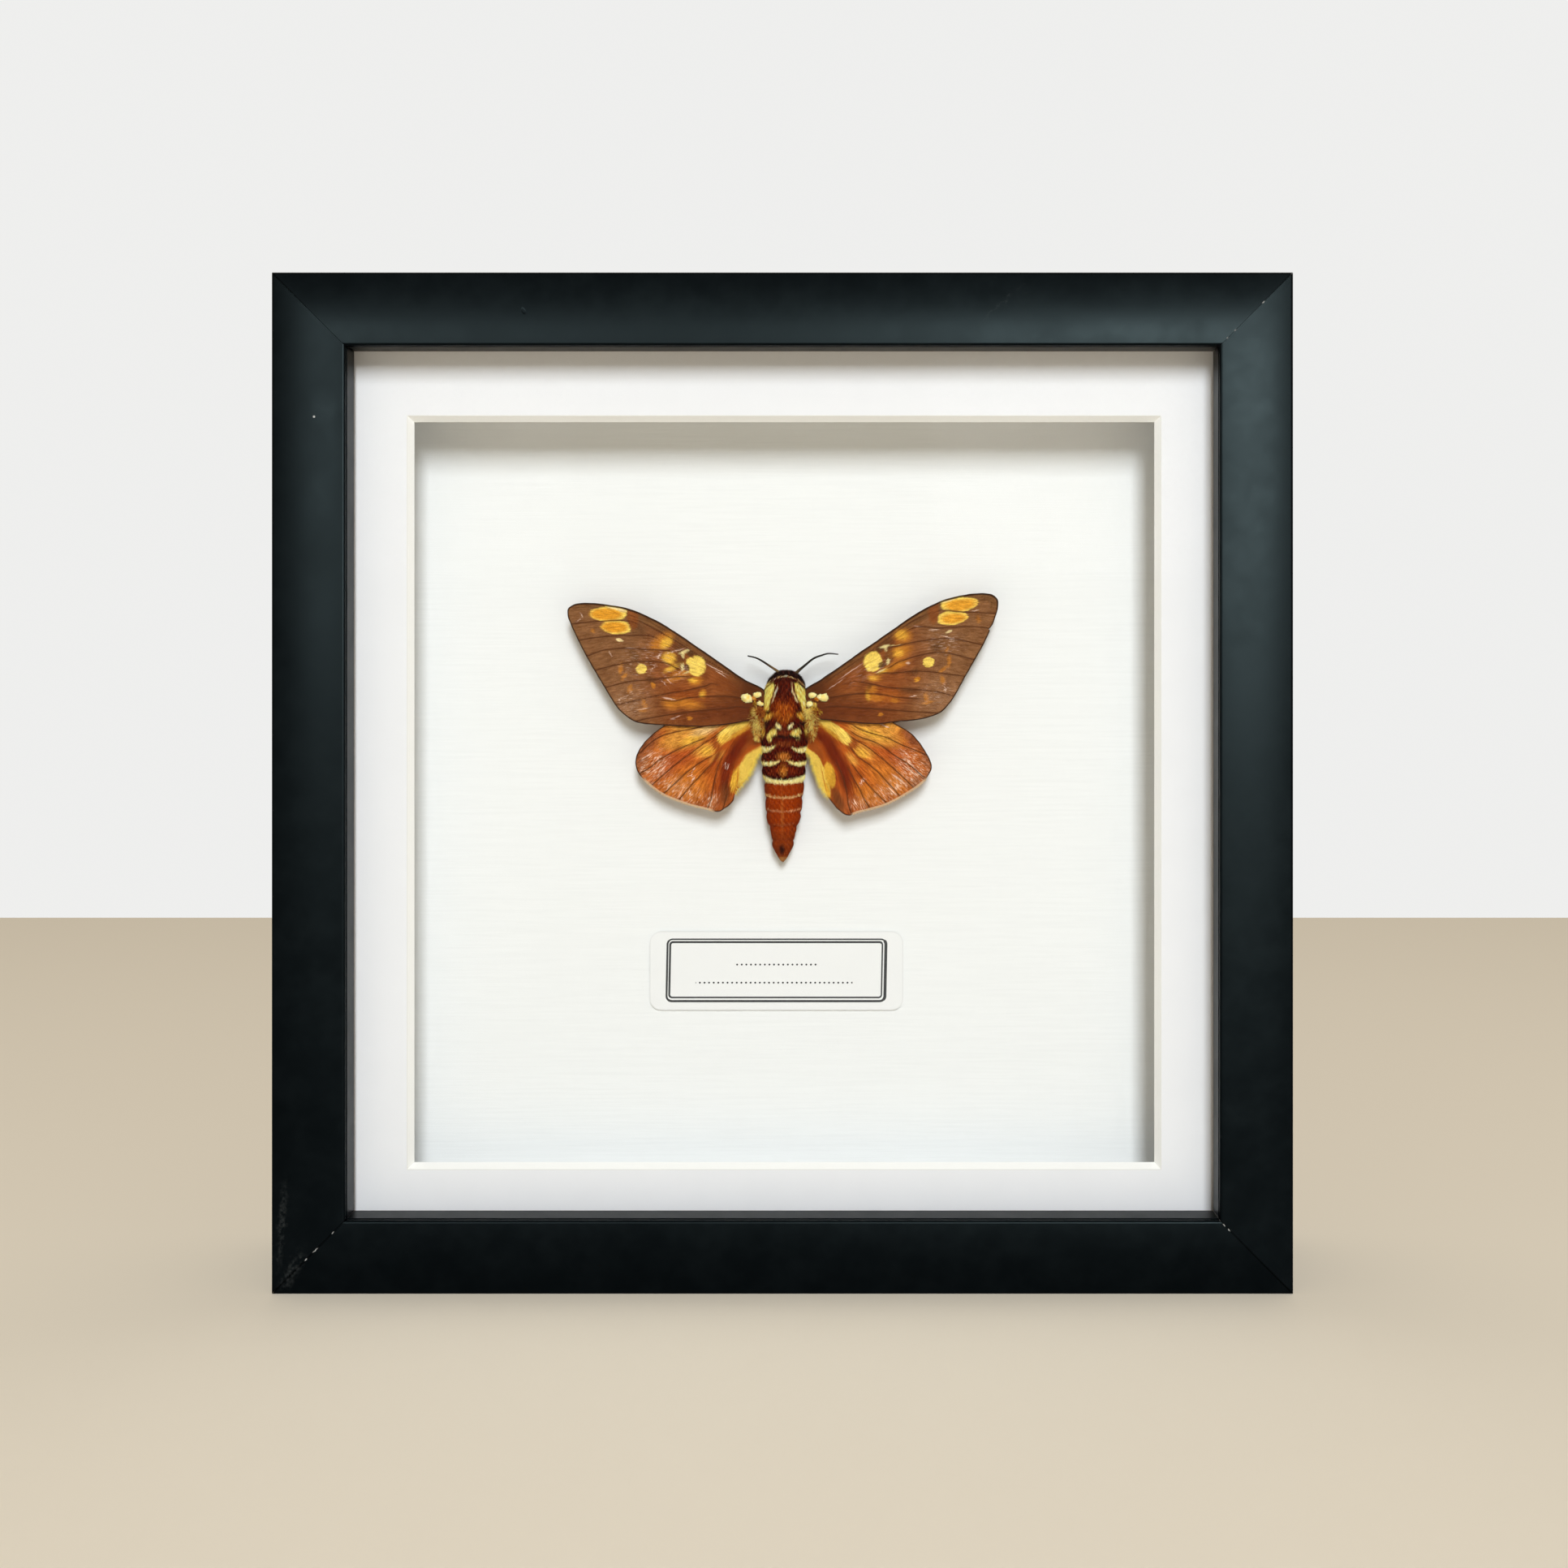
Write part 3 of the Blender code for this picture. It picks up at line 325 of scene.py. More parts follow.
# Colours of the fur, and its spots from the thorax to the abdomen: colour, strength, ovals as in RUBBED
MAROON, CHESTNUT, UMBER = (0.082, 0.004, 0.0003), (0.240, 0.026, 0.001), (0.330, 0.044, 0.001)
CREAM, BUTTER, STRAW = (1.0, 0.80, 0.33), (1.0, 0.69, 0.15), (0.90, 0.44, 0.05)
THORAX_SPOTS = (
    ((0.240, 0.032, 0.001), 1.0, ((0.1, -0.8, 3.3, 3.4, 0, 0.5),)),
    ((0.080, 0.006, 0.001), 0.85, ((0.2, 4.4, 2.0, 4.0, 0, 0.5),)),
    ((0.50, 0.14, 0.008), 0.6, (
        (-1.4, -2.0, 1.2, 1.0, 20, 0.9), (1.5, -2.4, 1.1, 0.8, -20, 0.9), (0.1, -3.7, 1.6, 0.6, 0, 0.9),
    )),
    ((0.42, 0.10, 0.006), 0.6, ((0.1, -0.2, 1.6, 1.0, 0, 0.9),)),
    ((0.02, 0.003, 0.001), 1.0, ((-0.1, 1.0, 0.30, 0.26, 0, 0.5),)),
    ((0.035, 0.006, 0.002), 1.0, (
        (-4.3, -1.4, 1.1, 0.5, -20, 0.6), (4.4, -1.0, 0.5, 1.2, 10, 0.8),
        (-4.9, -4.6, 1.4, 0.9, 0, 0.8), (5.2, -4.8, 1.3, 0.9, 0, 0.8),
    )),
    (STRAW, 0.95, (
        (-4.2, -2.9, 1.8, 0.7, 32, 0.5), (4.9, -2.8, 1.7, 0.7, -35, 0.5),
        (-5.4, -6.4, 0.6, 1.6, 0, 0.8), (5.9, -6.2, 0.5, 1.6, 0, 0.8),
    )),
    ((0.070, 0.009, 0.002), 1.0, ((0.2, -5.6, 4.4, 1.2, 0, 0.6),)),
    (CHESTNUT, 0.8, ((0.3, -4.6, 0.7, 1.0, 0, 0.6),)),
    (CREAM, 1.0, ((-1.3, -5.2, 0.95, 0.48, -38, 0.3), (1.9, -5.1, 0.95, 0.38, 42, 0.3))),
    ((0.94, 0.66, 0.15), 1.0, (
        (-2.9, -7.0, 1.3, 0.9, 30, 0.3), (-3.5, -8.1, 0.7, 0.9, 0, 0.4), (3.2, -6.8, 1.4, 0.8, 25, 0.35),
        (3.7, -7.9, 0.6, 0.8, 20, 0.4), (-2.2, -6.3, 0.5, 0.5, 0, 0.5),
    )),
    ((0.20, 0.026, 0.004), 1.0, ((0.3, -6.9, 1.5, 0.6, 0, 0.5),)),
)  # fmt: skip
ABDOMEN_SPOTS = (
    ((0.46, 0.15, 0.020), 1.0, ((0.1, -12.8, 1.7, 1.1, 0, 0.8),)),
    ((0.50, 0.17, 0.018), 1.0, ((0.0, -16.4, 1.0, 1.5, 0, 0.9),)),
    (CHESTNUT, 0.5, ((-2.0, -16.4, 2.2, 0.7, 25, 0.9),)),
    (CHESTNUT, 0.4, ((2.2, -16.4, 2.2, 0.7, -25, 0.9),)),
)

# Fur of the body: outlines of the yellow shoulders, and places where two segments meet
SHOULDERS = {
    "left": ((-5.0, 4.6), (-4.2, 5.8), (-2.6, 5.9), (-2.3, 4.6), (-2.9, 2.6), (-3.5, 1.2), (-3.9, -1.2),
             (-4.7, -1.4), (-5.6, 0.2), (-5.4, 2.4)),
    "right": ((2.9, 5.9), (4.1, 5.7), (5.4, 4.6), (5.8, 2.6), (6.4, 0.4), (6.0, -1.4), (5.0, -1.6),
              (4.7, 0.0), (3.9, 1.6), (3.1, 3.8)),
}  # fmt: skip
PARTED_BANDS = (
    ((-6.6, -10.2), (-4.0, -10.6), (-1.9, -10.0), (-2.6, -10.9), (-3.6, -11.5), (-4.8, -11.9), (-6.6, -11.8)),
    ((2.0, -10.4), (3.4, -10.9), (6.8, -10.3), (6.8, -11.7), (4.8, -12.0), (3.4, -11.6)),
    ((-6.6, -14.1), (-3.5, -14.4), (-0.6, -13.8), (-1.6, -14.6), (-3.4, -15.3), (-6.6, -15.0)),
    ((0.5, -13.7), (3.0, -14.4), (6.6, -14.2), (6.6, -15.1), (4.0, -15.4), (2.0, -14.8)),
)  # fmt: skip
SEGMENT_JOINS = (-11.5, -15.0, -19.0, -23.2, -27.0, -30.6, -34.2)

# Tufts at the roots of the forewings: across, height, half width, half height, colour,
# length of the hairs and how strongly they are combed down
ROOT_TUFTS = {
    "left": (
        (-9.6, 2.1, 1.35, 1.20, "tuft", 0.30, 0.0), (-8.7, 1.7, 0.70, 0.75, "tuft", 0.30, 0.0),
        (-6.8, 2.9, 1.05, 0.75, "tuft", 0.30, 0.0), (-5.9, 0.7, 0.85, 0.60, "tuft", 0.35, 0.0),
        (-7.6, 2.0, 0.60, 0.50, "amber", 0.5, 0.0), (-7.2, 0.9, 0.50, 0.60, "gold", 0.7, 0.4),
        (-7.9, -1.2, 0.50, 0.80, "gold", 1.2, 0.6), (-6.9, -1.6, 0.60, 1.20, "gold", 1.5, 0.9),
        (-5.8, -1.6, 0.80, 1.30, "amber", 1.4, 0.9), (-7.4, -3.2, 0.55, 1.20, "rust", 1.6, 0.8),
        (-6.2, -4.2, 0.70, 1.50, "amber", 1.5, 0.9), (-6.9, -5.6, 0.45, 1.50, "band", 1.6, 1.0),
        (-6.7, -7.4, 0.35, 1.30, "band", 1.3, 1.1),
    ),
    "right": (
        (10.3, 2.2, 1.25, 1.05, "tuft", 0.30, 0.0), (9.3, 2.3, 0.70, 0.70, "tuft", 0.30, 0.0),
        (7.3, 2.8, 1.00, 0.75, "tuft", 0.30, 0.0), (6.7, 0.6, 0.80, 0.65, "tuft", 0.35, 0.0),
        (8.5, 1.9, 0.60, 0.50, "amber", 0.5, 0.0), (7.9, 0.5, 0.50, 0.60, "gold", 0.7, 0.4),
        (8.6, -1.2, 0.90, 0.45, "gold", 1.3, 0.5), (7.4, -1.6, 0.60, 1.10, "gold", 1.5, 0.8),
        (6.4, -1.8, 0.80, 1.30, "amber", 1.4, 0.9), (8.0, -3.2, 0.55, 1.10, "rust", 1.6, 0.7),
        (6.8, -4.2, 0.70, 1.50, "amber", 1.5, 0.9), (7.5, -5.6, 0.45, 1.50, "band", 1.6, 0.9),
        (7.2, -7.4, 0.35, 1.30, "band", 1.3, 1.1),
    ),
}  # fmt: skip

FEELERS = {
    "left": ((-1.0, 8.2), (-1.7, 9.0), (-3.6, 10.3), (-5.6, 11.6), (-7.2, 12.4), (-9.3, 12.9)),
    "right": ((2.8, 8.0), (3.7, 9.0), (5.6, 10.6), (7.6, 12.2), (9.6, 13.0), (11.5, 13.5), (14.0, 13.3)),
}


# Settings


def colour(name, description, default):
    return bpy.props.FloatVectorProperty(
        name=name, description=description, default=default, size=3, min=0, max=1, subtype="COLOR"
    )


def length(name, description, default):
    return bpy.props.FloatProperty(
        name=name, description=description, default=default, min=0, precision=5, unit="LENGTH"
    )


class FrameSettings(bpy.types.PropertyGroup):
    lacquer: colour("Lacquer", "Colour of the satin lacquer on the rails", (0.0016, 0.0023, 0.0028))
    raw_board: colour("Raw board", "Fibreboard that shows on the rails' back", (0.200, 0.125, 0.070))
    mitre_gap: length("Mitre gap", "Width of the hairline where two rails meet", 0.06 * MM)
    groove_depth: length("Groove depth", "Depth of the fine groove behind the lip's edge", 0.5 * MM)
    groove_width: length("Groove width", "Width of the fine groove behind the lip's edge", 1.1 * MM)


class SheetSettings(bpy.types.PropertyGroup):
    mat: colour("Mat", "Face of the mat and of the spacers", (0.885, 0.885, 0.890))
    bevel: colour("Bevel", "Cut edge of the mat", (0.965, 0.955, 0.910))
    board: colour("Board", "Linen board that the moth is mounted on", (0.905, 0.914, 0.893))
    paper: colour("Label", "Paper of the label", (0.880, 0.882, 0.860))
    ink: colour("Ink", "Rules and dotted lines on the label", (0.008, 0.008, 0.009))
    hardboard: colour("Hardboard", "Back panel", (0.220, 0.125, 0.062))
    steel: colour("Steel", "Tabs, hanger and nails", (0.560, 0.560, 0.550))


class MothSettings(bpy.types.PropertyGroup):
    wing_mesh: length("Wing mesh", "Distance between points of a wing", 0.34 * MM)
    wing_thickness: length("Wing thickness", "Thickness of a wing", 0.22 * MM)
    pleat: length("Pleat", "How far a wing rises at its veins", 0.10 * MM)
    hairs: bpy.props.IntProperty(name="Hairs", description="Number of hairs on the body", default=42000)
    hair_length: length("Hair length", "Length of a hair on the back of the thorax", 1.25 * MM)
    hair_width: length("Hair width", "Width of a hair at its root", 0.13 * MM)
    feeler_width: length("Feeler width", "Width of a feeler at its root", 1.0 * MM)


class StageSettings(bpy.types.PropertyGroup):
    floor: colour("Floor", "Plain floor under the frame", (0.880, 0.790, 0.650))
    backdrop: colour("Backdrop", "Even tone behind the frame", (0.860, 0.860, 0.850))
    key_power: bpy.props.FloatProperty(
        name="Key power", description="Power of the broad light above the camera", default=97, unit="POWER"
    )
    room: bpy.props.FloatProperty(
        name="Room", description="Strength of the light from all round", default=0.34
    )


# Modelling


def take(piece):
    """Leaves object mode on, with this piece alone selected."""
    if bpy.context.mode != "OBJECT":
        bpy.ops.object.mode_set(mode="OBJECT")
    bpy.ops.object.select_all(action="DESELECT")
    piece.select_set(True)
    bpy.context.view_layer.objects.active = piece
    return piece


def clear_selection():
    if bpy.context.mode != "OBJECT":
        bpy.ops.object.mode_set(mode="OBJECT")
    bpy.ops.object.select_all(action="DESELECT")


def settle(piece):
    """Puts the piece's place, turn and scale in its mesh."""
    take(piece)
    bpy.ops.object.transform_apply(location=True, rotation=True, scale=True)
    return piece


def bake_modifiers(piece):
    take(piece)
    for modifier in list(piece.modifiers):
        bpy.ops.object.modifier_apply(modifier=modifier.name)


def merged_copy(node, name):
    """A copy of a CAD node with its triangles joined, ready to be shaped."""
    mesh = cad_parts[node].data.copy()
    mesh.name = name
    piece = bpy.data.objects.new(name, mesh)
    bpy.context.scene.collection.objects.link(piece)
    take(piece)
    bpy.ops.mesh.customdata_custom_splitnormals_clear()
    bpy.ops.object.mode_set(mode="EDIT")
    bpy.ops.mesh.select_all(action="SELECT")
    bpy.ops.mesh.remove_doubles(threshold=0.01 * MM)
    bpy.ops.object.mode_set(mode="OBJECT")
    return piece


def points_of(piece):
    """The piece's points as rows of x, y and z."""
    values = np.empty(len(piece.data.vertices) * 3, np.float32)
    piece.data.vertices.foreach_get("co", values)
    return values.reshape(-1, 3).astype(float)


def move_points(piece, points):
    piece.data.vertices.foreach_set("co", points.astype(np.float32).ravel())
    piece.data.update()


def normals_of(piece):
    values = np.empty(len(piece.data.vertices) * 3, np.float32)
    piece.data.vertex_normals.foreach_get("vector", values)
    return values.reshape(-1, 3).astype(float)


def boolean(piece, cutter, operation):
    """Cuts the piece with the cutter, which is used up."""
    modifier = piece.modifiers.new("cut", "BOOLEAN")
    modifier.operation = operation
    modifier.solver = "MANIFOLD"
    modifier.object = cutter
    bake_modifiers(piece)
    bpy.data.objects.remove(cutter)


def bar(name, low, high):
    """A box between two corners, as a cutter."""
    clear_selection()
    middle = (Vector(low) + Vector(high)) / 2
    bpy.ops.mesh.primitive_cube_add(size=1, location=middle)
    made = bpy.context.active_object
    made.name = name
    made.scale = Vector(high) - Vector(low)
    return settle(made)


def dress(piece, finish, slot, *replaced, smooth=35):
    """Gives a finished piece its shading, finish and place in the object; the slot is not used."""
    take(piece)
    bpy.ops.object.shade_smooth_by_angle(angle=math.radians(smooth))
    piece.data.materials.clear()
    piece.data.materials.append(finish)
    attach(piece, "root")
    if replaced:
        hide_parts(*replaced)
    return piece


def paint_node(node, finish):
    """Gives a CAD node its finish."""
    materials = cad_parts[node].data.materials
    materials.clear()
    materials.append(finish)


# Node tools


class Value:
    """What a node gives, which can be reckoned with like a number."""

    def __init__(self, finish, socket):
        self.finish = finish
        self.socket = socket

    def __add__(self, other):
        return self.finish.maths("ADD", self, other)

    def __radd__(self, other):
        return self.finish.maths("ADD", other, self)

    def __sub__(self, other):
        return self.finish.maths("SUBTRACT", self, other)

    def __rsub__(self, other):
        return self.finish.maths("SUBTRACT", other, self)

    def __mul__(self, other):
        return self.finish.maths("MULTIPLY", self, other)

    def __rmul__(self, other):
        return self.finish.maths("MULTIPLY", other, self)

    def __truediv__(self, other):
        return self.finish.maths("DIVIDE", self, other)

    def __pow__(self, other):
        return self.finish.maths("POWER", self, other)

    def __abs__(self):
        return self.finish.maths("ABSOLUTE", self)

    def nearest(self):
        return self.finish.maths("ROUND", self)

    def above(self, other):
        return self.finish.maths("MAXIMUM", self, other)

    def below(self, other):
        return self.finish.maths("MINIMUM", self, other)

    def fade(self, start, end):
        """Zero at the start and one at the end, with a smooth rise between them."""
        settings = {"interpolation_type": "SMOOTHSTEP"}
        return self.finish.node("MapRange", settings, {0: self, 1: start, 2: end})


class Nodes:
    """A tree of nodes in the making."""

    def __init__(self, tree):
        self.tree = tree

    def feed(self, socket, value):
        if isinstance(value, Value):
            self.tree.links.new(value.socket, socket)
        elif socket.type == "RGBA" and len(value) == 3:
            socket.default_value = (*value, 1)
        else:
            socket.default_value = value

    def node(self, kind, settings=None, inputs=None, output=0):
        """Adds a node: its type, its settings, and the values or links of its sockets."""
        made = self.tree.nodes.new("ShaderNode" + kind)
        for name, value in (settings or {}).items():
            setattr(made, name, value)
        for socket, value in (inputs or {}).items():
            self.feed(made.inputs[socket], value)
        return Value(self, made.outputs[output])

    def maths(self, operation, *values):
        return self.node("Math", {"operation": operation}, dict(enumerate(values)))

    def split(self, vector):
        made = self.node("SeparateXYZ", None, {0: vector})
        outputs = made.socket.node.outputs
        return [Value(self, socket) for socket in outputs]


class Finish(Nodes):
    """A material in the making: its nodes, and the shader that they end in."""

    def __init__(self, name, **constants):
        self.material = bpy.data.materials.new(name)
        self.material.use_nodes = True
        super().__init__(self.material.node_tree)
        self.shader = self.tree.nodes["Principled BSDF"]
        self.dress_shader(constants)

    def dress_shader(self, sockets):
        for socket, value in sockets.items():
            self.feed(self.shader.inputs[socket.replace("_", " ")], value)

    def mix(self, factor, first, second, mode="MIX"):
        settings = {"data_type": "RGBA", "blend_type": mode, "clamp_factor": True}
        return self.node("Mix", settings, {0: factor, 6: first, 7: second}, output=2)

    def place(self):
        """Place on the object in millimetres."""
        return self.scaled(self.node("TexCoord", output=3), 1 / MM)

    def attribute(self, name):
        return self.node("Attribute", {"attribute_name": name}, output=1)

    def vector(self, operation, first, second=(0, 0, 0)):
        return self.node("VectorMath", {"operation": operation}, {0: first, 1: second})

    def scaled(self, vector, factor):
        return self.node("VectorMath", {"operation": "SCALE"}, {0: vector, 3: factor})

    def length(self, vector):
        return self.node("VectorMath", {"operation": "LENGTH"}, {0: vector}, output=1)

    def join(self, x, y, z=0.0):
        return self.node("CombineXYZ", None, {0: x, 1: y, 2: z})

    def stretch(self, vector, *factors):
        return self.vector("MULTIPLY", vector, factors)

    def noise(self, vector, scale, detail=3.0, roughness=0.5, output=0):
        inputs = {"Vector": vector, "Scale": scale, "Detail": detail, "Roughness": roughness}
        return self.node("TexNoise", None, inputs, output)

    def ragged(self, vector, amount, scale):
        """The vector shifted to and fro, so that what it draws has a ragged edge."""
        shift = self.noise(vector, scale, 2.0, 0.6, output=1)
        shift = self.vector("SUBTRACT", shift, (0.5, 0.5, 0.5))
        return self.vector("ADD", vector, self.stretch(shift, 2 * amount, 2 * amount, 0))

    def spot(self, vector, across, up, half_length, half_width, degrees=0.0, soft=0.3):
        """One inside an oval, zero outside it, with an edge as soft as asked."""
        inputs = {
            "Vector": vector,
            "Location": (across, up, 0),
            "Rotation": (0, 0, math.radians(degrees)),
            "Scale": (half_length, half_width, 1),
        }
        local = self.node("Mapping", {"vector_type": "TEXTURE"}, inputs)
        return self.length(local).fade(1 + soft * 0.6, max(1 - soft, 0))

    def bump(self, height, distance, strength=1.0, normal=None):
        inputs = {"Strength": strength, "Distance": distance, "Height": height}
        if normal:
            inputs["Normal"] = normal
        return self.node("Bump", None, inputs)

    def end(self, **sockets):
        """Links what varies to the shader and gives the material."""
        self.dress_shader(sockets)
        return self.material


# Finishes of the frame


def dimmed(tone, share):
    return [value * share for value in tone]


def line_mask(value, width, soft=0.5):
    """One where the value is within half the width of zero."""
    return abs(value).fade(width / 2 * (1 + soft), width / 2 * (1 - soft))


def lacquer_finish():
    """Satin black lacquer with a faint tooth, chips at the mitres, scuffs at the foot; raw board behind."""
    settings = bpy.context.scene.moth_frame
    finish = Finish("black_lacquer", Specular_IOR_Level=0.13, Specular_Tint=(0.68, 0.95, 1.0, 1.0))
    place = finish.place()
    x, y, z = finish.split(place)
    up = z - HALF_SIDE / MM
    across, rise = abs(x), abs(up)
    inward = HALF_SIDE / MM - across.above(rise)
    mitre = (across - rise) * math.sqrt(0.5)
    broad = finish.noise(place, 0.035, 3.0, 0.55)
    cloud = finish.noise(place, 0.16, 4.0, 0.6)
    tooth = finish.noise(place, 2.6, 4.0, 0.65)
    grain = finish.noise(finish.stretch(place, 0.5, 3.0, 6.0), 1.0, 3.0, 0.6)
    black = finish.mix(cloud.fade(0.35, 0.75) * 0.5, settings.lacquer, (0.0034, 0.0046, 0.0052))
    black = finish.mix(mitre_shadow(finish, mitre, place) * 0.95, black, (0.0004, 0.0004, 0.0005))
    chips = mitre_chips(finish, x, up, mitre)
    scuffs = corner_scuffs(finish, place)
    dents = finish.spot(finish.join(x, up), -63.3, 115.5, 0.45, 0.8, 30, 0.5)
    specks = finish.spot(finish.join(x, up), -114.5, 89.6, 0.28, 0.28, 0, 0.5)
    black = finish.mix(scuffs * 0.45, black, (0.050, 0.052, 0.050))
    black = finish.mix((chips + specks).below(1.0), black, (0.46, 0.45, 0.43))
    fibre = finish.noise(finish.stretch(place, 0.6, 1.6, 0.6), 1.8, 5.0, 0.7)
    raw = finish.mix(fibre, dimmed(settings.raw_board, 0.62), settings.raw_board)
    raw = finish.mix(finish.noise(place, 9.0, 2.0, 0.6).fade(0.55, 0.75) * 0.5, raw, (0.30, 0.21, 0.13))
    behind = y.fade(RAIL_BACK - 0.35, RAIL_BACK - 0.15)
    rebate = inward.fade(RAIL_WALL - 0.3, RAIL_WALL - 0.1) * y.fade(LIP_BACK / MM - 0.2, LIP_BACK / MM - 0.05)
    bare = behind.above(rebate)
    shine = 0.34 + (cloud - 0.5) * 0.14 + (broad - 0.5) * 0.12 + scuffs * 0.15
    rough = shine + (0.85 - shine) * bare + chips * 0.2
    height = tooth * 0.5 + grain * 0.25 + fibre * bare * 3.0 - chips * 1.5 - dents * 4.0
    relief = finish.bump(height, 0.02 * MM, 0.55)
    return finish.end(Base_Color=finish.mix(bare, black, raw), Roughness=rough, Normal=relief)


def mitre_shadow(finish, mitre, place):
    """Fine dark line along each mitre, wider here and there."""
    waver = finish.noise(place, 0.35, 2.0, 0.5)
    return abs(mitre).fade(0.32, 0.17) * waver.fade(0.10, 0.45)


def mitre_chips(finish, x, up, mitre):
    """Chips where the lacquer has broken away along the mitres, at their distances from the outer corner."""
    chips = None
    places = (
        (1, 1, 7.4, 0.42), (1, 1, 14.3, 0.30), (1, 1, 16.2, 0.22), (1, 1, 18.6, 0.5),
        (-1, -1, 8.5, 0.45), (-1, -1, 10.8, 0.80), (-1, -1, 15.1, 0.42), (-1, -1, 18.9, 0.9),
        (1, -1, 15.8, 0.40), (1, -1, 18.6, 0.9), (1, -1, 17.0, 0.4), (-1, 1, 18.4, 0.3),
    )  # fmt: skip
    flat = finish.ragged(finish.join(x, up), 0.16, 1.8)
    half = HALF_SIDE / MM
    for right, top, inset, reach in places:
        slant = 45 * right * top
        spot = finish.spot(flat, right * (half - inset), top * (half - inset), reach, 0.13, slant, 0.6)
        chips = spot if chips is None else chips.above(spot)
    return chips * abs(mitre).fade(0.9, 0.5)


def corner_scuffs(finish, place):
    """Pale rubbed patches at the lower left corner, and a long faint scratch on the top rail."""
    x, _, z = finish.split(place)
    flat = finish.ragged(finish.join(x, z), 1.6, 0.5)
    scuffs = finish.spot(flat, -120.0, 5.5, 5.2, 1.5, 62, 1.0)
    scuffs = scuffs.above(finish.spot(flat, -122.4, 17.0, 9.0, 0.9, 86, 1.0))
    scuffs = scuffs.above(finish.spot(flat, 53.5, 242.2, 6.5, 0.30, 40, 1.0) * 0.5)
    return scuffs * finish.noise(place, 1.1, 4.0, 0.7).fade(0.40, 0.66)


def glass_finish():
    finish = Finish("clear_glass", Base_Color=(0.05, 0.07, 0.065), Specular_IOR_Level=0.15)
    return finish.end(Roughness=0.03, Alpha=0.03)


def card_finish():
    """Smooth mat card with a faint felt, and the paler core where its window is cut."""
    settings = bpy.context.scene.moth_sheets
    finish = Finish("mat_card", Roughness=0.86, Specular_IOR_Level=0.25)
    place = finish.place()
    x, _, z = finish.split(place)
    edge = abs(x).above(abs(z - WINDOW_MIDDLE))
    bevel = edge.fade(WINDOW_HALF + 1.62, WINDOW_HALF + 1.50)
    cloud = finish.noise(place, 0.09, 3.0, 0.5)
    felt = finish.noise(place, 3.2, 5.0, 0.7)
    face = finish.mix(cloud.fade(0.3, 0.7) * 0.35, settings.mat, dimmed(settings.mat, 0.965))
    face = finish.mix(felt.fade(0.55, 0.8) * 0.10, face, (0.70, 0.71, 0.72))
    layers = finish.noise(finish.stretch(place, 0.15, 6.0, 0.15), 1.0, 2.0, 0.6)
    core = finish.mix(layers * 0.5, settings.bevel, dimmed(settings.bevel, 0.90))
    cut_line = edge - (WINDOW_HALF + 1.46)
    core = finish.mix(line_mask(cut_line, 0.16) * 0.35, core, (0.55, 0.53, 0.46))
    relief = finish.bump(felt, 0.03 * MM, 0.35)
    return finish.end(Base_Color=finish.mix(bevel, face, core), Normal=relief)


def linen_finish():
    """Warm white board with fine laid lines that run across it and fade in and out."""
    settings = bpy.context.scene.moth_sheets
    finish = Finish("linen_board", Roughness=0.9, Specular_IOR_Level=0.2)
    place = finish.place()
    laid = finish.noise(finish.stretch(place, 0.035, 1.0, 1.55), 1.0, 3.0, 0.65)
    fine = finish.noise(finish.stretch(place, 0.10, 1.0, 4.2), 1.0, 2.0, 0.6)
    cross = finish.noise(finish.stretch(place, 3.4, 1.0, 0.14), 1.0, 2.0, 0.6)
    cloud = finish.noise(place, 0.05, 2.0, 0.5)
    lines = laid * 0.55 + fine * 0.35 + cross * 0.10
    tone = finish.mix(lines.fade(0.40, 0.62) * 0.8, settings.board, dimmed(settings.board, 0.962))
    tone = finish.mix(cloud.fade(0.4, 0.7) * 0.3, tone, dimmed(settings.board, 0.975))
    speck = finish.noise(place, 1.2, 1.0, 0.5).fade(0.765, 0.80)
    tone = finish.mix(speck * 0.25, tone, (0.62, 0.58, 0.50))
    relief = finish.bump(lines, 0.10 * MM, 0.45)
    return finish.end(Base_Color=tone, Normal=relief)


def rounded_box(finish, x, z, half_x, half_z, corner):
    """Distance outside a rounded rectangle, negative inside it."""
    away_x = abs(x) - (half_x - corner)
    away_z = abs(z) - (half_z - corner)
    outside = finish.join(away_x.above(0.0), away_z.above(0.0))
    return finish.length(outside) + away_x.above(away_z).below(0.0) - corner


